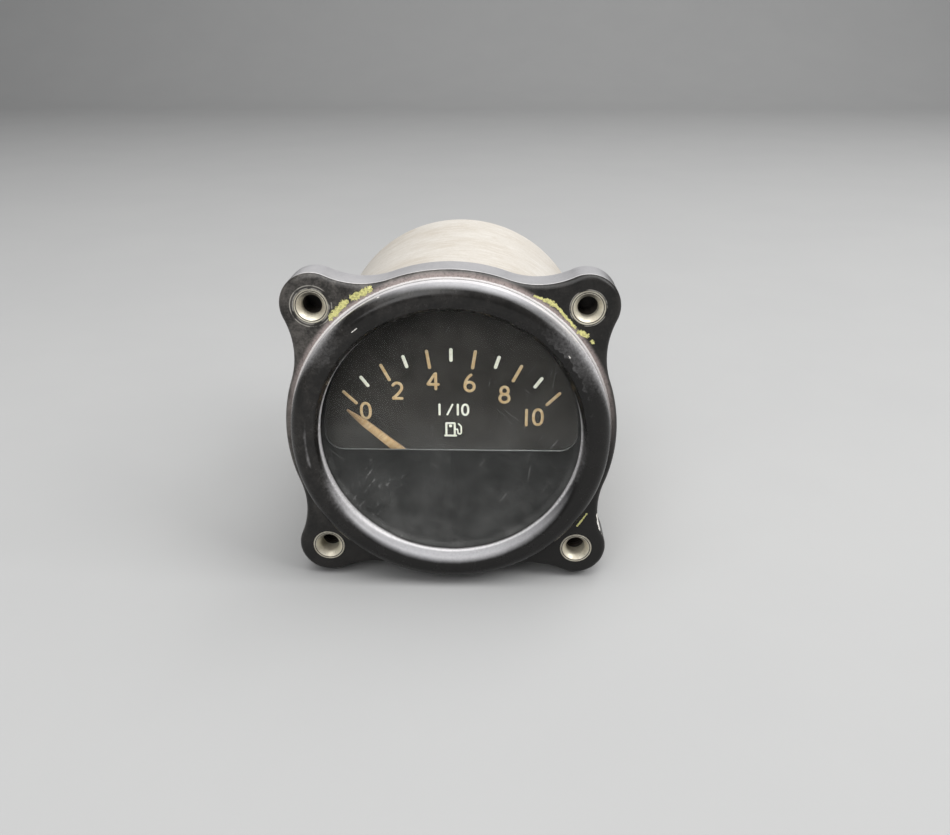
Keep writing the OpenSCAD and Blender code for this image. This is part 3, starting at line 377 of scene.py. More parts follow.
ROOT_R, CREST_R, BORE_END = 1.76, 1.60, 6.3
PITCH = 0.794
AROUND = 96
champagne = bright_metal("champagne_plating", (0.72, 0.68, 0.56), 0.4, (0.56, 0.51, 0.41), shine=0.6)
for name, x, z, shade_depth in (("ul", -1, 1, 2.2), ("ur", 1, 1, 2.2), ("ll", -1, -1, 3.6), ("lr", 1, -1, 3.4)):
    centre = SCREW * (x + 1j * z)
    # Radius, depth and darkening of each point of the section, from the back to the first turn of thread;
    # the darkening is paint left on the face rings, and painted shade from the shade depth into the bore.
    cup = np.array([[0, 7.2, 0], [2.8, 7.2, 0], [2.95, 7.1, 0], [3.0, 6.9, 0], [3.0, 0.12, 0],
                    [2.97, 0.03, 0], [2.94, 0.0, 0.6], [2.86, 0.0, 0.3], [2.82, 0.0, 0], [2.76, 0.0, 0],
                    [2.72, 0.04, 0.9], [2.60, 0.05, 0.9], [2.56, 0.01, 0.2], [2.50, 0.02, 0],
                    [2.44, 0.08, 0], [2.1, 0.5, 0], [1.84, 0.88, 0], [1.77, 1.05, 0],
                    [ROOT_R, shade_depth - 0.2, 0], [ROOT_R, shade_depth, 1]])
    mouth = turned(cup, centre, AROUND)
    bore = thread(ROOT_R, CREST_R, shade_depth, BORE_END, PITCH, centre, AROUND)
    bore_floor = turned([[ROOT_R, bore[0, -1, 1]], [0, bore[0, -1, 1]]], centre, AROUND)
    # Painted shade: the upper side of the mouth, and the whole bore from the shade depth inwards, are
    # darkened where the light does not reach.
    above = np.clip(np.sin(np.linspace(0, 2 * np.pi, AROUND + 1)), 0, 1)[:, None]
    upper_shade = np.where(cup[:, 0] < 2.45, 0.8, 0.5) * (cup[:, 1] < 6) * (cup[:, 0] < 2.96)
    dull = np.maximum(cup[:, 2], 0.35 * (z < 0) * (abs(cup[:, 0] - 2.7) < 0.25) * (cup[:, 1] < 1))
    grime_and_shade = [np.maximum(dull, above * upper_shade), np.ones(bore.shape[:2]), np.ones(bore_floor.shape[:2])]
    insert = make_piece("insert_" + name, [mouth, bore, bore_floor], {"grime_and_shade": grime_and_shade})
    dress(insert, champagne, stands_for=["screw_inserts"])

# Bezel ring: turned aluminium, painted black, screwed into the flange over the glass. Dust lies on the
# sides that face up, and along the top shoulder it also stands in for a painted highlight. The outer wall
# is rubbed bare with a painted highlight, strongest at the top, the lip is rubbed bare and chipped at the
# upper right, and the shoulder is rubbed grey with a painted sheen at both upper corners, with three
# small nicks.
def ring_section():
    """The ring's section, stretch by stretch, as radius and depth. With it come four numbers for each
    point: how far it faces out or in, and how far it belongs to the wall, the slope and the lip, each
    fading along the lip's inner side."""
    wall = RING_R - 1j * np.linspace(0.2, 1.6, 7)
    shoulder = swing(26.25 - 1.6j, 2.2, 0, -90, 22)[1:]
    level = np.linspace(26.25, 25.55, 5)[1:-1] - 3.8j
    crest = swing(25.55 - 2.0j, 1.8, -90, -157.4, 16)
    slope = np.linspace(crest[-1], 23.45 - 1.63j, 12)[1:]
    lip = np.array([23.38 - 1.5j, 23.355 - 1.4j, 23.35 - 1.25j, 23.35 - 0.6j])
    skirt = [25.6 - 0.6j, 25.6 + 2.6j, 27 + 2.6j, 27 + 0.3j]
    seat = [28 + 0.3j, 28 + 0j, 28.38 + 0j, RING_R - 0.07j]
    back = np.array(skirt + seat)
    stretches = [wall, shoulder, level, crest, slope, lip, back, wall[:1]]
    out = np.cos(np.radians(np.linspace(4, 90, 21)))
    inward = np.array([1.0, 1.0, 0.7, 0.25])
    over = -np.clip(np.linspace(0.45, 1.08, 16), 0, 1)
    faces = [1.0, out, -0.3, over, -1.0, -inward, 0.0, 1.0]
    walls = [1.0, np.clip(1 - np.arange(21) / 3, 0, 1), 0.0, 0.0, 0.0, 0.0, 0.0, 1.0]
    rise, run = np.linspace(0.24, 0.62, 16), np.linspace(0.62, 0.78, 11)
    slopes = [0.0, 0.0, 0.0, rise, run, 0.8 * inward, 0.0, 0.0]
    lips = [0.0, 0.0, 0.0, 0.0, np.linspace(0, 1, 11) ** 3, inward, 0.0, 0.0]
    parts = (faces, walls, slopes, lips)
    whole = [np.concatenate([v + 0 * p.real for v, p in zip(part, stretches)]) for part in parts]
    return np.concatenate(stretches), *whole


def ripple(turn, waves, seed):
    """A smooth irregular wave round the ring, of about unit height: sines of several counts to a turn."""
    draw = np.random.default_rng(seed)
    parts = [np.sin(k * turn + p) / k**0.4 for k, p in zip(waves, draw.uniform(0, 6.28, len(waves)))]
    return np.sum(parts, 0) / len(waves) ** 0.5


def patch(turn, clock, wide):
    """One at a clock angle in degrees, fading on both sides of it over so many degrees."""
    return np.exp(-((((np.degrees(turn) - clock + 180) % 360 - 180) / wide) ** 2))


section, facing, wall, slope, lip = ring_section()
turn = np.linspace(0, 2 * np.pi, 721)[:, None]
chipped = patch(turn, 44, 13) + 0.4 * patch(turn, 312, 10) + 0.04
jag = np.clip(ripple(turn, np.arange(40, 190, 7), 3) + 0.2, 0, 1.4) * chipped
at_lip = np.exp(-((abs(section - (23.4 - 1.5j)) / 0.5) ** 2))
at_crest = np.exp(-((abs(section - (25.65 - 3.8j)) / 0.45) ** 2))
# Painted sheen: a broad pale band on the outer shoulder at the upper right and the upper left.
side_sheen = np.exp(-((abs(section - (28.4 - 1.8j)) / 1.4) ** 2))
# Shoulder and crest greyed to a ragged inner edge: worn paint with a painted sheen on it.
ragged = 25.2 - 1.5 * ripple(turn, np.arange(9, 150, 6), 11)
greyed_and_sheen = np.clip((section.real - ragged) / 0.2, 0, 1) * (section.imag < -1.5)
dents = 0.03 * ripple(turn, np.arange(3, 60, 4), 5) * (facing != 0) * (section.imag < -0.3)
radius = section.real - 0.5 * dents + 0.45 * jag * at_lip
depth = np.maximum(section.imag + 0.5 * dents - 0.05 * jag * at_lip, -3.8)
grid = np.stack([radius * np.sin(turn), depth, radius * np.cos(turn)], -1)
uneven = 0.85 + 0.25 * ripple(turn, np.arange(2, 30, 3), 8)
# Wear of the wall is weighted towards the top: bare paint, and painted highlight where the wall faces up.
worn_and_highlight = wall * np.clip(0.55 + np.cos(turn), 0.15, 0.7) * uneven + 0.5 * jag * at_lip
worn_and_highlight = worn_and_highlight + lip * (np.clip(0.9 - 0.9 * np.cos(turn - 0.35), 0.2, 1) + 0.5 * patch(turn, 268, 22)) * uneven
scuffed = 0.88 + 0.13 * ripple(turn, np.arange(20, 190, 9), 4)
worn_and_highlight = worn_and_highlight + slope * scuffed * (patch(turn, 234, 30) + 0.72 * patch(turn, 98, 30))
patchy = np.clip(0.8 + 1.2 * ripple(turn, np.arange(14, 60, 5), 21), 0, 1)
worn_and_highlight = worn_and_highlight + 0.5 * at_crest * patch(turn, 267, 14) * patchy
worn_and_highlight = worn_and_highlight + greyed_and_sheen * (0.36 * patch(turn, 52, 30) + 0.33 * patch(turn, 308, 18))
worn_and_highlight = worn_and_highlight + side_sheen * (0.45 * patch(turn, 60, 24) + 0.4 * patch(turn, 305, 20))
# Dust on the faces that look up; along the top shoulder it also stands in for a painted highlight, falling
# off towards the sides.
top_dust_and_sheen = np.clip(np.cos(turn - 0.14), 0, 1) ** 1.6
low_dust = np.clip(-np.cos(turn), 0, 1) ** 0.5
dust_and_sheen = np.where(facing > 0, top_dust_and_sheen, low_dust) * abs(facing)
ring = make_piece("bezel_turning", [grid], {"edge": [worn_and_highlight], "dust_and_sheen": [dust_and_sheen]})
nicks = (strips_of([[-11.8, 25.8], [-11.6, 25.9]], 0.17, -2.25)
         + strips_of([[-16.2, 20.2], [-15.3, 20.9]], 0.11, -3.8)
         + strips_of([[20.5, 16.0], [20.3, 16.3]], 0.14, -3.8))
bezel_paint = black_paint("bezel_paint", fade=0.2, rub_and_highlight=0.8, dust=0.95, gloss=0.22, pale=nicks)
dress(ring, bezel_paint, stands_for=["bezel_ring"])

# Gaskets: thin die-cut rings of black rubber under the lip, the case and the terminal plate.
# They are squeezed between their neighbours, and only their dull edges show.
def rubber():
    """Matt black rubber with a fine grain and a grey bloom."""
    f = Finish("gasket_rubber")
    bloom = f.step(f.noise(0.8, 4, 0.6), 0.4, 0.75)
    color = f.mix(bloom, (0.018, 0.018, 0.018), (0.05, 0.05, 0.048))
    return f.shade(color, 0.75, 0.0, f.noise(8.0, 3), 0.02)


def dress_nodes(names, finish):
    """Gives CAD nodes, whose shape stays as it is, their material."""
    for name in names:
        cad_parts[name].data.materials.clear()
        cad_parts[name].data.materials.append(finish)


dress_nodes(["glass_gasket", "case_gasket", "terminal_gasket"], rubber())

# Cover glass: a flat disc of plain glass with a ground edge, held under the lip of the ring.
# Years of wiping have left a film of dust and fine scratches, thickest along its lower edge.
def clear_glass():
    """Clear glass that lets the lamps through. A thin grey film is laid over it where dust gathers, in
    specks, in scratches that lean three ways, and in a scuffed patch at the lower left."""
    f = Finish("cover_glass")
    f.shade((0.97, 0.985, 0.98), 0.02, 0.0, Transmission_Weight=1.0, IOR=1.1, Specular_IOR_Level=0.3)
    grey = {"Base Color": (0.34, 0.34, 0.33), "Roughness": 0.6, "Specular IOR Level": 0.2}
    film = f.add("BsdfPrincipled", grey)
    through = f.add("BsdfTransparent", {"Color": (0.97, 0.985, 0.98)})
    lamp = f.add("LightPath", {}, out="Is Shadow Ray")
    glass = f.add("MixShader", {0: lamp, 1: f.shader.outputs[0], 2: through})
    low = f.step(f.axis(2), 10 * MM, -23 * MM, 0.006, 0.15)
    low = f.math("MULTIPLY", low, f.step(f.off_axis(), 21.8, 23.2, 1.0, 2.2))
    dust = f.math("MULTIPLY", low, f.step(f.noise(0.15, 4), 0.25, 0.75, 0.5, 1.5))
    dust = f.math("ADD", dust, f.step(f.noise(4.0, 3, 0.7), 0.70, 0.79, 0.0, 0.25))
    for lean, lumps in ((35, 0.3), (-50, 0.21), (8, 0.25)):
        scratch = f.step(f.noise(2.6, 1, drawn=(1, 1, 14), lean=lean), 0.69, 0.75, 0.0, 0.16)
        dust = f.math("ADD", dust, f.math("MULTIPLY", scratch, f.step(f.noise(lumps, 2), 0.5, 0.62)))
    rubbed = f.step(f.noise(2.0, 3, 0.7, (1, 1, 3), 40), 0.55, 0.66)
    scuff = f.math("MULTIPLY", rubbed, f.step(f.noise(0.5, 3), 0.4, 0.56))
    at_scuff = f.step(f.off_axis(-14.0, -11.0), 9.0, 1.0, 0.0, 0.4)
    dust = f.math("ADD", dust, f.math("MULTIPLY", scuff, at_scuff))
    out = f.add("MixShader", {0: dust, 1: glass, 2: film})
    f.tree.links.new(out, f.tree.nodes["Material Output"].inputs["Surface"])
    return f.material


disc = [[0, -0.2], [23, -0.2], [25.1, -0.2], [25.4, 0.1], [25.4, 1.3], [25.1, 1.6], [0, 1.6]]
glass = make_piece("glass_disc", [turned(disc, around=128)])
dress(glass, clear_glass(), stands_for=["cover_glass"])

# Mask and spacer: a black plate with the half-round window, on a ring that leaves room for the pointer.
# The plate is stamped. The cut edge along the straight lower side of the window draws the thin bright
# sill: bare edge and painted highlight where it faces up, brighter towards the right.
def matt_black(name, dark, light):
    """Matt black enamel with a fine tooth, cloudy fading and pale specks of dust; pale where the cut mark
    says, which is bare edge and painted highlight.
    """
    f = Finish(name)
    color = f.mix(f.step(f.noise(0.2, 4, 0.6), 0.3, 0.75), dark, light)
    color = f.mix(f.step(f.noise(3.5, 3, 0.75), 0.75, 0.83, 0.0, 0.4), color, (0.16, 0.15, 0.14))
    color = f.mix(f.mark("cut"), color, (0.26, 0.26, 0.255))
    return f.shade(color, f.step(f.noise(0.5, 4), 0.3, 0.7, 0.58, 0.66), 0.0, Specular_IOR_Level=0.12)


def window_path():
    """The window's outline: a circle, cut off straight below and rounded at its two corners."""
    r, corner, sill = 23.0, 3.3, -3.9
    z = sill + corner
    x = np.sqrt((r - corner) ** 2 - z**2)
    touch = np.degrees(np.arctan2(z, x))
    right = swing(x + 1j * z, corner, -90, touch, 20)
    upper = swing(0, r, touch, 180 - touch, 180)
    left = swing(-x + 1j * z, corner, 180 - touch, 270, 20)
    lower = np.linspace(left[-1], right[0], 60)
    return np.concatenate([right, upper[1:], left[1:], lower[1:]])


MASK_R, MASK_FRONT, MASK_BACK = 25.4, 1.6, 2.1
window = window_path()
outer = MASK_R * window / abs(window)
share = np.linspace(0, 1, 8)
face = stand(window[:, None] + (outer - window)[:, None] * share, MASK_FRONT)
back = stand(window[:, None] + (outer - window)[:, None] * share, MASK_BACK)
edge = stand(window[:, None] * np.ones(4), np.array([MASK_FRONT, 1.66, 2.04, MASK_BACK]))
rim = stand(outer[:, None] * np.ones(2), np.array([MASK_FRONT, MASK_BACK]))
along = np.gradient(window)
# The sill: only the lower edge, which faces up, is pale, and more so towards the right: bare edge and
# painted highlight.
bare_and_highlight = np.clip((along / abs(along)).real, 0, 1) ** 8 * np.clip(0.6 + 0.02 * window.real, 0.4, 1)
sill = bare_and_highlight[:, None] * np.array([0.0, 1.0, 1.0, 0.0])
cut = [np.zeros(face.shape[:2]), np.zeros(back.shape[:2]), sill, np.zeros(rim.shape[:2])]
mask = make_piece("mask_plate", [face, back, edge, rim], {"cut": cut})
mask_enamel = matt_black("mask_enamel", (0.037, 0.037, 0.036), (0.057, 0.056, 0.055))
dress(mask, mask_enamel, stands_for=["dial_mask"])
dial_enamel = matt_black("dial_enamel", (0.026, 0.0235, 0.021), (0.044, 0.040, 0.0365))
dress_nodes(["dial_spacer", "dial_plate"], dial_enamel)

# Dial markings: eleven ticks, the even numbers and two small signs, brushed on thick enough to stand
# proud of the enamel. The luminous ones have aged to tan and the plain ones to cream.
DIAL_Y = 4.1
PIVOT = -12.8j


def stroke(points, width, closed=False, lift=0.05):
    """A bead of paint: a low arch carried along a line of points, drawn in to a round end at both ends."""
    points = np.asarray(points, complex)
    gaps = np.append(0, np.cumsum(abs(np.diff(points))))
    run = np.linspace(0, gaps[-1], max(12, int(gaps[-1] / 0.07)))
    line = np.interp(run, gaps, points.real) + 1j * np.interp(run, gaps, points.imag)
    along = np.gradient(line)
    if closed:
        along[0] = along[-1] = along[0] + along[-1]
    side = 1j * along / abs(along)
    near_end = np.ones(len(run)) if closed else np.clip(np.minimum(run, run[-1] - run) / (width / 2), 0, 1)
    half = width / 2 * np.sqrt(1 - (1 - near_end) ** 2)
    across = np.append(np.linspace(-1, 1, 9), -1)
    rise = np.append(lift * (1 - np.linspace(-1, 1, 9) ** 2), 0)
    depth = DIAL_Y + 0.005 - rise * (half / width * 2)[:, None]
    return stand(line[:, None] + (side * half)[:, None] * across, depth)


def oval(x, z, wide, high, start=90.0, end=450.0, full=2.0):
    """Points round an oval; a larger full makes its sides straighter."""
    a = np.radians(np.linspace(start, end, 64))
    c, s = np.cos(a), np.sin(a)
    c, s = np.sign(c) * abs(c) ** (2 / full), np.sign(s) * abs(s) ** (2 / full)
    return x + wide * c + 1j * (z + high * s)


def bow(a, b, c):
    """Points of a curve from a to c that is drawn towards b."""
    t = np.linspace(0, 1, 24)
    return (1 - t) ** 2 * a + 2 * t * (1 - t) * b + t**2 * c


def figure(digit, centre, scale, width):
    """Strokes of a digit three and a half units high: ovals, bows and straight lines."""
    two = [oval(0, 0.68, 0.84, 0.82, 172, -14), bow(0.8 + 0.4j, 0.5 - 0.4j, -0.85 - 1.49j), [1.1 - 1.49j]]
    four, stem = [0.42 + 1.6j, -1.0 - 0.6j, 1.2 - 0.6j], [0.46 + 1.75j, 0.46 - 1.75j]
    lines = {
        "0": [(oval(0, 0, 0.82, 1.49, full=2.3), True)],
        "1": [(np.array([1.75j, -1.75j]), False)],
        "2": [(np.concatenate(two), False)],
        "4": [(np.array(four), False), (np.array(stem), False)],
        "6": [(oval(0, -0.64, 0.84, 0.86), True), (bow(-0.84 - 0.62j, -0.80 + 1.0j, 0.5 + 1.72j), False)],
        "8": [(oval(0, 0.77, 0.68, 0.73), True), (oval(0, -0.70, 0.84, 0.80), True)],
    }[digit]
    return [stroke(centre + scale * points, width, closed) for points, closed in lines]


def ticks(which, inner_r, width):
    """Straight marks that point at the pivot, 9.1 degrees apart, out to one radius."""
    first, apart, outer_r = -45.5, 9.1, 27.8
    spokes = 1j * np.exp(-1j * np.radians(first + apart * np.asarray(which)))
    return [stroke(PIVOT + s * np.array([inner_r, outer_r]), width) for s in spokes]


tan_marks = ticks([0, 2, 4, 6, 8, 10], 24.1, 0.62)
numbers = (("0", -15.75, 2.78), ("2", -9.83, 6.77), ("4", -3.26, 8.67), ("6", 3.31, 8.34),
           ("8", 9.64, 6.18), ("1", 13.72, 1.69), ("0", 15.82, 1.81))
for digit, x, z in numbers:
    tan_marks += figure(digit, x + 1j * z, 1.0, 0.55)
cream_marks = ticks([1, 3, 5, 7, 9], 25.2, 0.66)
for digit, x in (("1", -2.2), ("1", 1.15), ("0", 2.5)):
    cream_marks += figure(digit, x + 3.15j, 0.68, 0.42)
cream_marks.append(stroke([-0.85 + 2.0j, 0.25 + 4.3j], 0.36))
pump = [-1.0 - 2.0j, -1.0 + 0.45j, 0.55 + 0.45j, 0.55 - 2.0j]
hose = [0.6 - 0.75j, 1.05 - 0.75j, 1.15 - 1.6j, 1.5 - 1.75j, 1.75 - 1.5j, 1.75 - 0.2j, 1.15 + 0.45j]
cream_marks += [stroke(pump, 0.40), stroke([-1.45 - 2.05j, 1.0 - 2.05j], 0.42), stroke(hose, 0.30)]
cream_marks += [stroke([-0.55 - 0.1j, 0.1 - 0.1j], 0.62)]


def old_paint(name, color, pale, dark, drawn=(1, 1, 1), lean=0.0, tip=0.0):
    """Aged dial paint: mottled, with brown grains that may be drawn out one way, and a chalky tooth. A tip,
    given as its distance from the pivot in mm, makes it darker towards there."""
    f = Finish(name)
    mottle, grain = f.noise(1.6, 4, 0.65, drawn, lean), f.noise(7.0, 3, 0.7, drawn, lean)
    tint = f.mix(f.step(mottle, 0.38, 0.68), color, pale)
    tint = f.mix(f.step(grain, 0.52, 0.72, 0.0, 0.7), tint, dark)
    if tip:
        tint = f.mix(f.step(f.off_axis(0.0, PIVOT.imag), tip - 7, tip, 0.0, 0.9), tint, dark)
    return f.shade(tint, 0.7, 0.0, grain, 0.02)


lume = old_paint("aged_lume", (0.52, 0.35, 0.17), (0.60, 0.47, 0.29), (0.27, 0.165, 0.09))
cream = old_paint("cream_paint", (0.79, 0.78, 0.64), (0.86, 0.86, 0.78), (0.46, 0.44, 0.37))
for name, strokes, paint in (("tan_markings", tan_marks, lume), ("cream_markings", cream_marks, cream)):
    dress(make_piece(name, strokes, crease=60.0), paint)

# Pointer: a thin lance of sheet metal, riveted to a bush on the staff and painted tan on its face.
# A brass weight behind its tail balances it, and two brass pins stop it at the ends of its swing.
REST = 49.6
POINTER_Y = 2.95
spoke = 1j * np.exp(1j * np.radians(REST))
TAIL, NECK, TIP = 2.5, 20.95, 24.9
run = np.concatenate([[TAIL], np.linspace(TAIL, NECK, 40), np.linspace(NECK, TIP, 14)[1:], [TIP]])
half = np.interp(run, [TAIL, 13.0, NECK, TIP], [0.86, 0.86, 0.66, 0.10])
half[[0, -1]] = 0.0
across = np.append(np.linspace(-1, 1, 11), -1)
crown = np.append(0.02 + 0.10 * (1 - np.linspace(-1, 1, 11) ** 2), 0.0)
lance = stand(PIVOT + spoke * (run[:, None] - 1j * half[:, None] * across), POINTER_Y - crown)
pointer_lume = old_paint("pointer_lume", (0.45, 0.28, 0.12), (0.57, 0.41, 0.235), (0.18, 0.11, 0.055),
                         drawn=(1, 1, 9), lean=REST, tip=TIP)
dress(make_piece("pointer_paint", [lance], crease=60.0), pointer_lume, body="pointer_assembly")
pointer_edge = old_paint("pointer_edge", (0.30, 0.19, 0.10), (0.36, 0.25, 0.15), (0.10, 0.07, 0.05))
dress_nodes(["pointer"], pointer_edge)
brass = bright_metal("dull_brass", (0.60, 0.45, 0.20), 0.3, (0.42, 0.28, 0.11))
steel = bright_metal("plain_steel", (0.50, 0.50, 0.50), 0.3, (0.34, 0.33, 0.31))
dress_nodes(["pointer_bush", "balance_weight", "pointer_stops"], brass)
dress_nodes(["dial_screws"], steel)

# Movement: two brass plates on riveted pillars, the steel staff between a bearing and a jewelled screw,
# and the zero lever that holds the outer end of the hairspring. The plates are grained before plating.
grained = bright_metal("grained_brass", (0.58, 0.44, 0.21), 0.26, (0.44, 0.31, 0.13), drawn=(12, 1, 0.6))
dress_nodes(["front_plate", "rear_plate"], grained)
dress_nodes(["front_bearing", "pillars", "jewel_screw", "jewel_lock_nut"], brass)
dress_nodes(["zero_lever", "hairspring_collet", "board_posts"], brass)
dress_nodes(["staff", "plate_screws", "core_screws", "board_screws"], steel)


def wire(name, color, dark, per_mm):
    """Enamelled wire laid side by side, each turn a fine ridge across the coil's length."""
    f = Finish(name)
    axes = f.add("SeparateXYZ", {0: f.place}).node
    lean = f.math("ADD", f.math("ABSOLUTE", axes.outputs[0]), axes.outputs[2])
    ridge = f.math("SINE", f.math("MULTIPLY", f.math("ADD", lean, axes.outputs[1]), per_mm / MM))
    tint = f.mix(f.step(ridge, -0.9, 0.4), dark, color)
    tint = f.mix(f.step(f.noise(0.5, 4), 0.45, 0.7, 0.0, 0.5), tint, dark)
    return f.shade(tint, 0.32, 0.6, ridge, 0.04)


copper = wire("enamelled_copper", (0.52, 0.21, 0.08), (0.22, 0.08, 0.03), 14.0)
dress_nodes(["coil_windings", "coil_leads", "terminal_leads", "hairspring"], copper)
dress_nodes(["resistor_windings"], wire("resistance_wire", (0.42, 0.40, 0.36), (0.16, 0.15, 0.13), 12.0))

# Coils and board: soft iron cores, yoke and armature, and brown phenolic bobbins, spools and board.
# The iron is stamped and plated grey. The phenolic is laminated, with a faint weave on its faces.
def phenolic(name, color, dark):
    """Brown phenolic with a cloth weave just under a satin skin."""
    f = Finish(name)
    weave = f.math("MULTIPLY", f.noise(3.5, 1, drawn=(5, 1, 1)), f.noise(3.5, 1, drawn=(1, 1, 5)))
    tint = f.mix(f.step(f.noise(0.3, 4, 0.6), 0.35, 0.7), color, dark)
    tint = f.mix(f.step(weave, 0.18, 0.34, 0.0, 0.35), tint, tuple(1.8 * c for c in color))
    return f.shade(tint, f.step(weave, 0.15, 0.4, 0.34, 0.5), 0.0, weave, 0.02)


iron = bright_metal("plated_iron", (0.30, 0.30, 0.30), 0.42, (0.20, 0.19, 0.18))
dress_nodes(["armature", "coil_yoke", "coil_cores"], iron)
brown = phenolic("brown_phenolic", (0.10, 0.045, 0.024), (0.055, 0.025, 0.014))
dress_nodes(["coil_bobbins", "resistor_board", "resistor_spools", "inner_insulator"], brown)

# Case: a can drawn from sheet aluminium, slid over the flange's spigot and held by three slotted screws.
# Its skin is a dull warm grey, rubbed in streaks round the can, with soft stains and small dents.
def case_grid(around=240):
    """The can's section, inside and out, carried round the axis, with a wave of a few hundredths on it."""
    edge = swing(25.7 + 56.0j, 2.5, 0, 90, 14)
    inside = swing(25.7 + 56.0j, 1.6, 90, 0, 10)
    lip = swing(27.75 + 8.15j, 0.45, 180, 360, 9)
    wall = 28.2 + 1j * np.linspace(8.3, 55.9, 60)
    rear = np.linspace(25.6, 0.0, 30) + 58.5j
    lining = 27.3 + 1j * np.linspace(55.8, 8.2, 8)
    section = np.concatenate([lining, lip, wall, edge, rear, [57.6j], inside])
    section = np.append(section, section[0])
    turn = np.linspace(0, 2 * np.pi, around + 1)
    shows = np.zeros(len(section))
    first = len(lining) + len(lip)
    shows[first:first + len(wall)] = np.sin(np.linspace(0, np.pi, len(wall))) ** 0.5
    y = section.imag[None] / 50 * np.pi
    wave = 0.5 + 0.25 * np.sin(3 * turn + 1)[:, None] * np.sin(2 * y)
    wave = wave + 0.25 * np.sin(7 * turn + 2)[:, None] * np.sin(3 * y + 1)
    dent_depth = 0.06
    radius = section.real - dent_depth * wave * shows
    return stand(np.exp(1j * turn)[:, None] * radius, section.imag)


def drawn_metal():
    """Dull drawn aluminium: pale rubbed streaks round the can, a fine mottled grain and warm stains."""
    f = Finish("drawn_aluminium")
    streak, grain = f.wiped(0.9, 7.0, 4), f.noise(1.8, 5, 0.7)
    tint = f.mix(f.step(f.noise(0.07, 5, 0.6), 0.35, 0.68), (0.53, 0.50, 0.455), (0.47, 0.43, 0.375))
    tint = f.mix(f.step(streak, 0.4, 0.8, 0.0, 0.6), tint, (0.62, 0.595, 0.56))
    tint = f.mix(f.step(f.noise(0.16, 5, 0.65), 0.55, 0.75, 0.0, 0.35), tint, (0.38, 0.32, 0.245))
    tint = f.mix(f.step(grain, 0.45, 0.75, 0.0, 0.35), tint, (0.395, 0.355, 0.285))
    height = f.math("ADD", f.math("MULTIPLY", streak, 0.5), f.math("MULTIPLY", grain, 0.6))
    return f.shade(tint, f.step(grain, 0.3, 0.7, 0.54, 0.68), 0.18, height, 0.009, Specular_IOR_Level=0.35)


case = make_piece("case_can", [case_grid()])
dress(case, drawn_metal(), stands_for=["case_shell"])
dress_nodes(["case_screws"], steel)

# Terminals: a moulded phenolic plate on the back of the case, with three brass studs through it.
# Each stud has a plated washer and a brass nut, and a free threaded end for its wire.
def rounded_disc(r, start, end, soft, around=128, centre=0j, hole=0.0):
    """A flat disc or washer whose corners are rounded."""
    rear = swing(r - soft + 1j * (end - soft), soft, 0, 90, 7)
    front = swing(r - soft + 1j * (start + soft), soft, -90, 0, 7)
    section = np.concatenate([[hole + 1j * start], front, rear, [hole + 1j * end], [hole + 1j * start]])
    return turned(np.stack([section.real, section.imag], 1), centre, around)


plate = make_piece("terminal_moulding", [rounded_disc(15.5, 59.1, 62.3, 0.6)])
moulded = phenolic("moulded_phenolic", (0.05, 0.026, 0.016), (0.03, 0.016, 0.011))
dress(plate, moulded, stands_for=["terminal_plate"])


def nut_grid(centre, across=8.73, start=63.1, end=66.3, hole=1.95, around=180):
    """A hexagon nut: the radius of a hexagon, cut back near both faces by a cone that rounds its
    corners."""
    turn = np.linspace(0, 2 * np.pi, around + 1)
    flat = across / 2 / np.cos((turn + np.pi / 6) % (np.pi / 3) - np.pi / 6)
    depth = np.concatenate([np.linspace(0, 0.5, 6), np.linspace(2.7, 3.2, 6)[1:]]) + start
    cone = across / 2 + 0.02 + 1.7 * np.minimum(depth - start, end - depth)
    radius = np.minimum(flat[:, None], cone[None])
    ends = np.full((len(turn), 1), hole)
    radius = np.concatenate([ends, radius, ends, ends], 1)
    depth = np.concatenate([[start], depth, [end, start]])
    return stand(centre + np.exp(1j * turn)[:, None] * radius, depth)


STUD_RING_R = 9.0
STUD_ROOT, STUD_CREST = 1.75, 2.07
STUD_START, THREAD_END, STUD_END = 61.0, 73.8, 74.0
for k, angle in enumerate((0, 120, 240)):
    centre = STUD_RING_R * 1j * np.exp(-1j * np.radians(angle))
    tip = turned([[0, STUD_END], [1.55, STUD_END], [STUD_ROOT, THREAD_END]], centre, 48)
    shank = turned([[STUD_ROOT, STUD_START], [0, STUD_START]], centre, 48)
    screw = thread(STUD_ROOT, STUD_CREST, STUD_START, THREAD_END, PITCH, centre)
    stud = make_piece(f"stud_{k}", [tip, screw, shank])
    dress(stud, brass, stands_for=["terminal_studs"])
    washer = make_piece(f"washer_{k}", [rounded_disc(4.4, 62.3, 63.1, 0.2, 64, centre, 2.05)])
    dress(washer, champagne, stands_for=["stud_washers"])
    nut = make_piece(f"nut_{k}", [nut_grid(centre)], crease=25.0)
    dress(nut, brass, stands_for=["stud_nuts"])

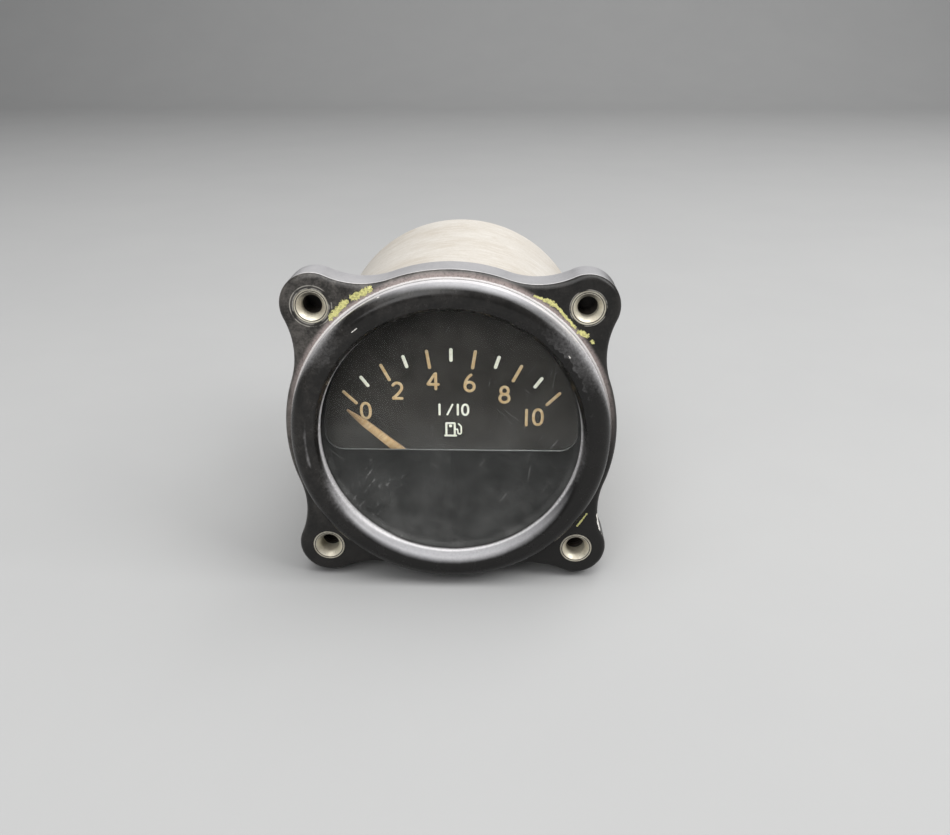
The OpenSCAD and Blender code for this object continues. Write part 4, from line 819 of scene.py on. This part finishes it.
# Floor, light and camera: a pale sweep under and behind the gauge, tilted so that the flange and the
# rear of the case both stand on it, a long soft box overhead, smaller ones in front and at the right,
# and the view.
FLOOR_TILT = 0.0348
level = np.linspace(-900, 900, 40) + 0j
floor_run = np.concatenate([level, swing(900 + 350j, 350, -90, 0, 24)[1:], [1250 + 1400j]])
floor_z = -29.92 + FLOOR_TILT * (floor_run.real - FLANGE_T) + floor_run.imag
span = np.linspace(-6000, 6000, 40)
sweep = np.stack(np.broadcast_arrays(span[:, None], floor_run.real, floor_z), -1)
floor = make_piece("floor", [sweep])
f = Finish("pale_floor")
floor_grey = f.mix(f.step(f.noise(0.02, 4), 0.3, 0.7), (0.343, 0.343, 0.341), (0.35, 0.35, 0.347))
floor.data.materials.append(f.shade(floor_grey, 0.85, 0.0))


def soft_box(name, place, wide, high, power):
    """A rectangular lamp that faces the gauge."""
    lamp = bpy.data.lights.new(name, "AREA")
    lamp.shape, lamp.size, lamp.size_y, lamp.energy = "RECTANGLE", wide, high, power
    holder = bpy.data.objects.new(name, lamp)
    holder.location = place
    holder.rotation_euler = (-holder.location).to_track_quat("-Z", "Y").to_euler()
    bpy.context.scene.collection.objects.link(holder)


soft_box("overhead_box", (0.05, -0.06, 0.93), 1.6, 0.8, 16.0)
soft_box("front_box", (-0.3, -0.8, 0.55), 0.5, 0.5, 3.5)
soft_box("right_box", (0.7, -0.25, 0.65), 0.5, 0.5, 6.0)
world = bpy.data.worlds.new("studio")
world.use_nodes = True
world.node_tree.nodes["Background"].inputs["Color"].default_value = (0.8, 0.82, 0.86, 1.0)
world.node_tree.nodes["Background"].inputs["Strength"].default_value = 0.17
bpy.context.scene.world = world
lens = bpy.data.cameras.new("view")
lens.lens, lens.sensor_width = 32.62, 36.0
lens.clip_start = 0.005
camera = bpy.data.objects.new("view", lens)
camera.location = (0.00776, -0.14129, 0.06379)
camera.rotation_euler = np.radians([66.83, 0.0, 1.369])
bpy.context.scene.collection.objects.link(camera)
bpy.context.scene.camera = camera
bpy.context.scene.view_settings.view_transform = "Standard"
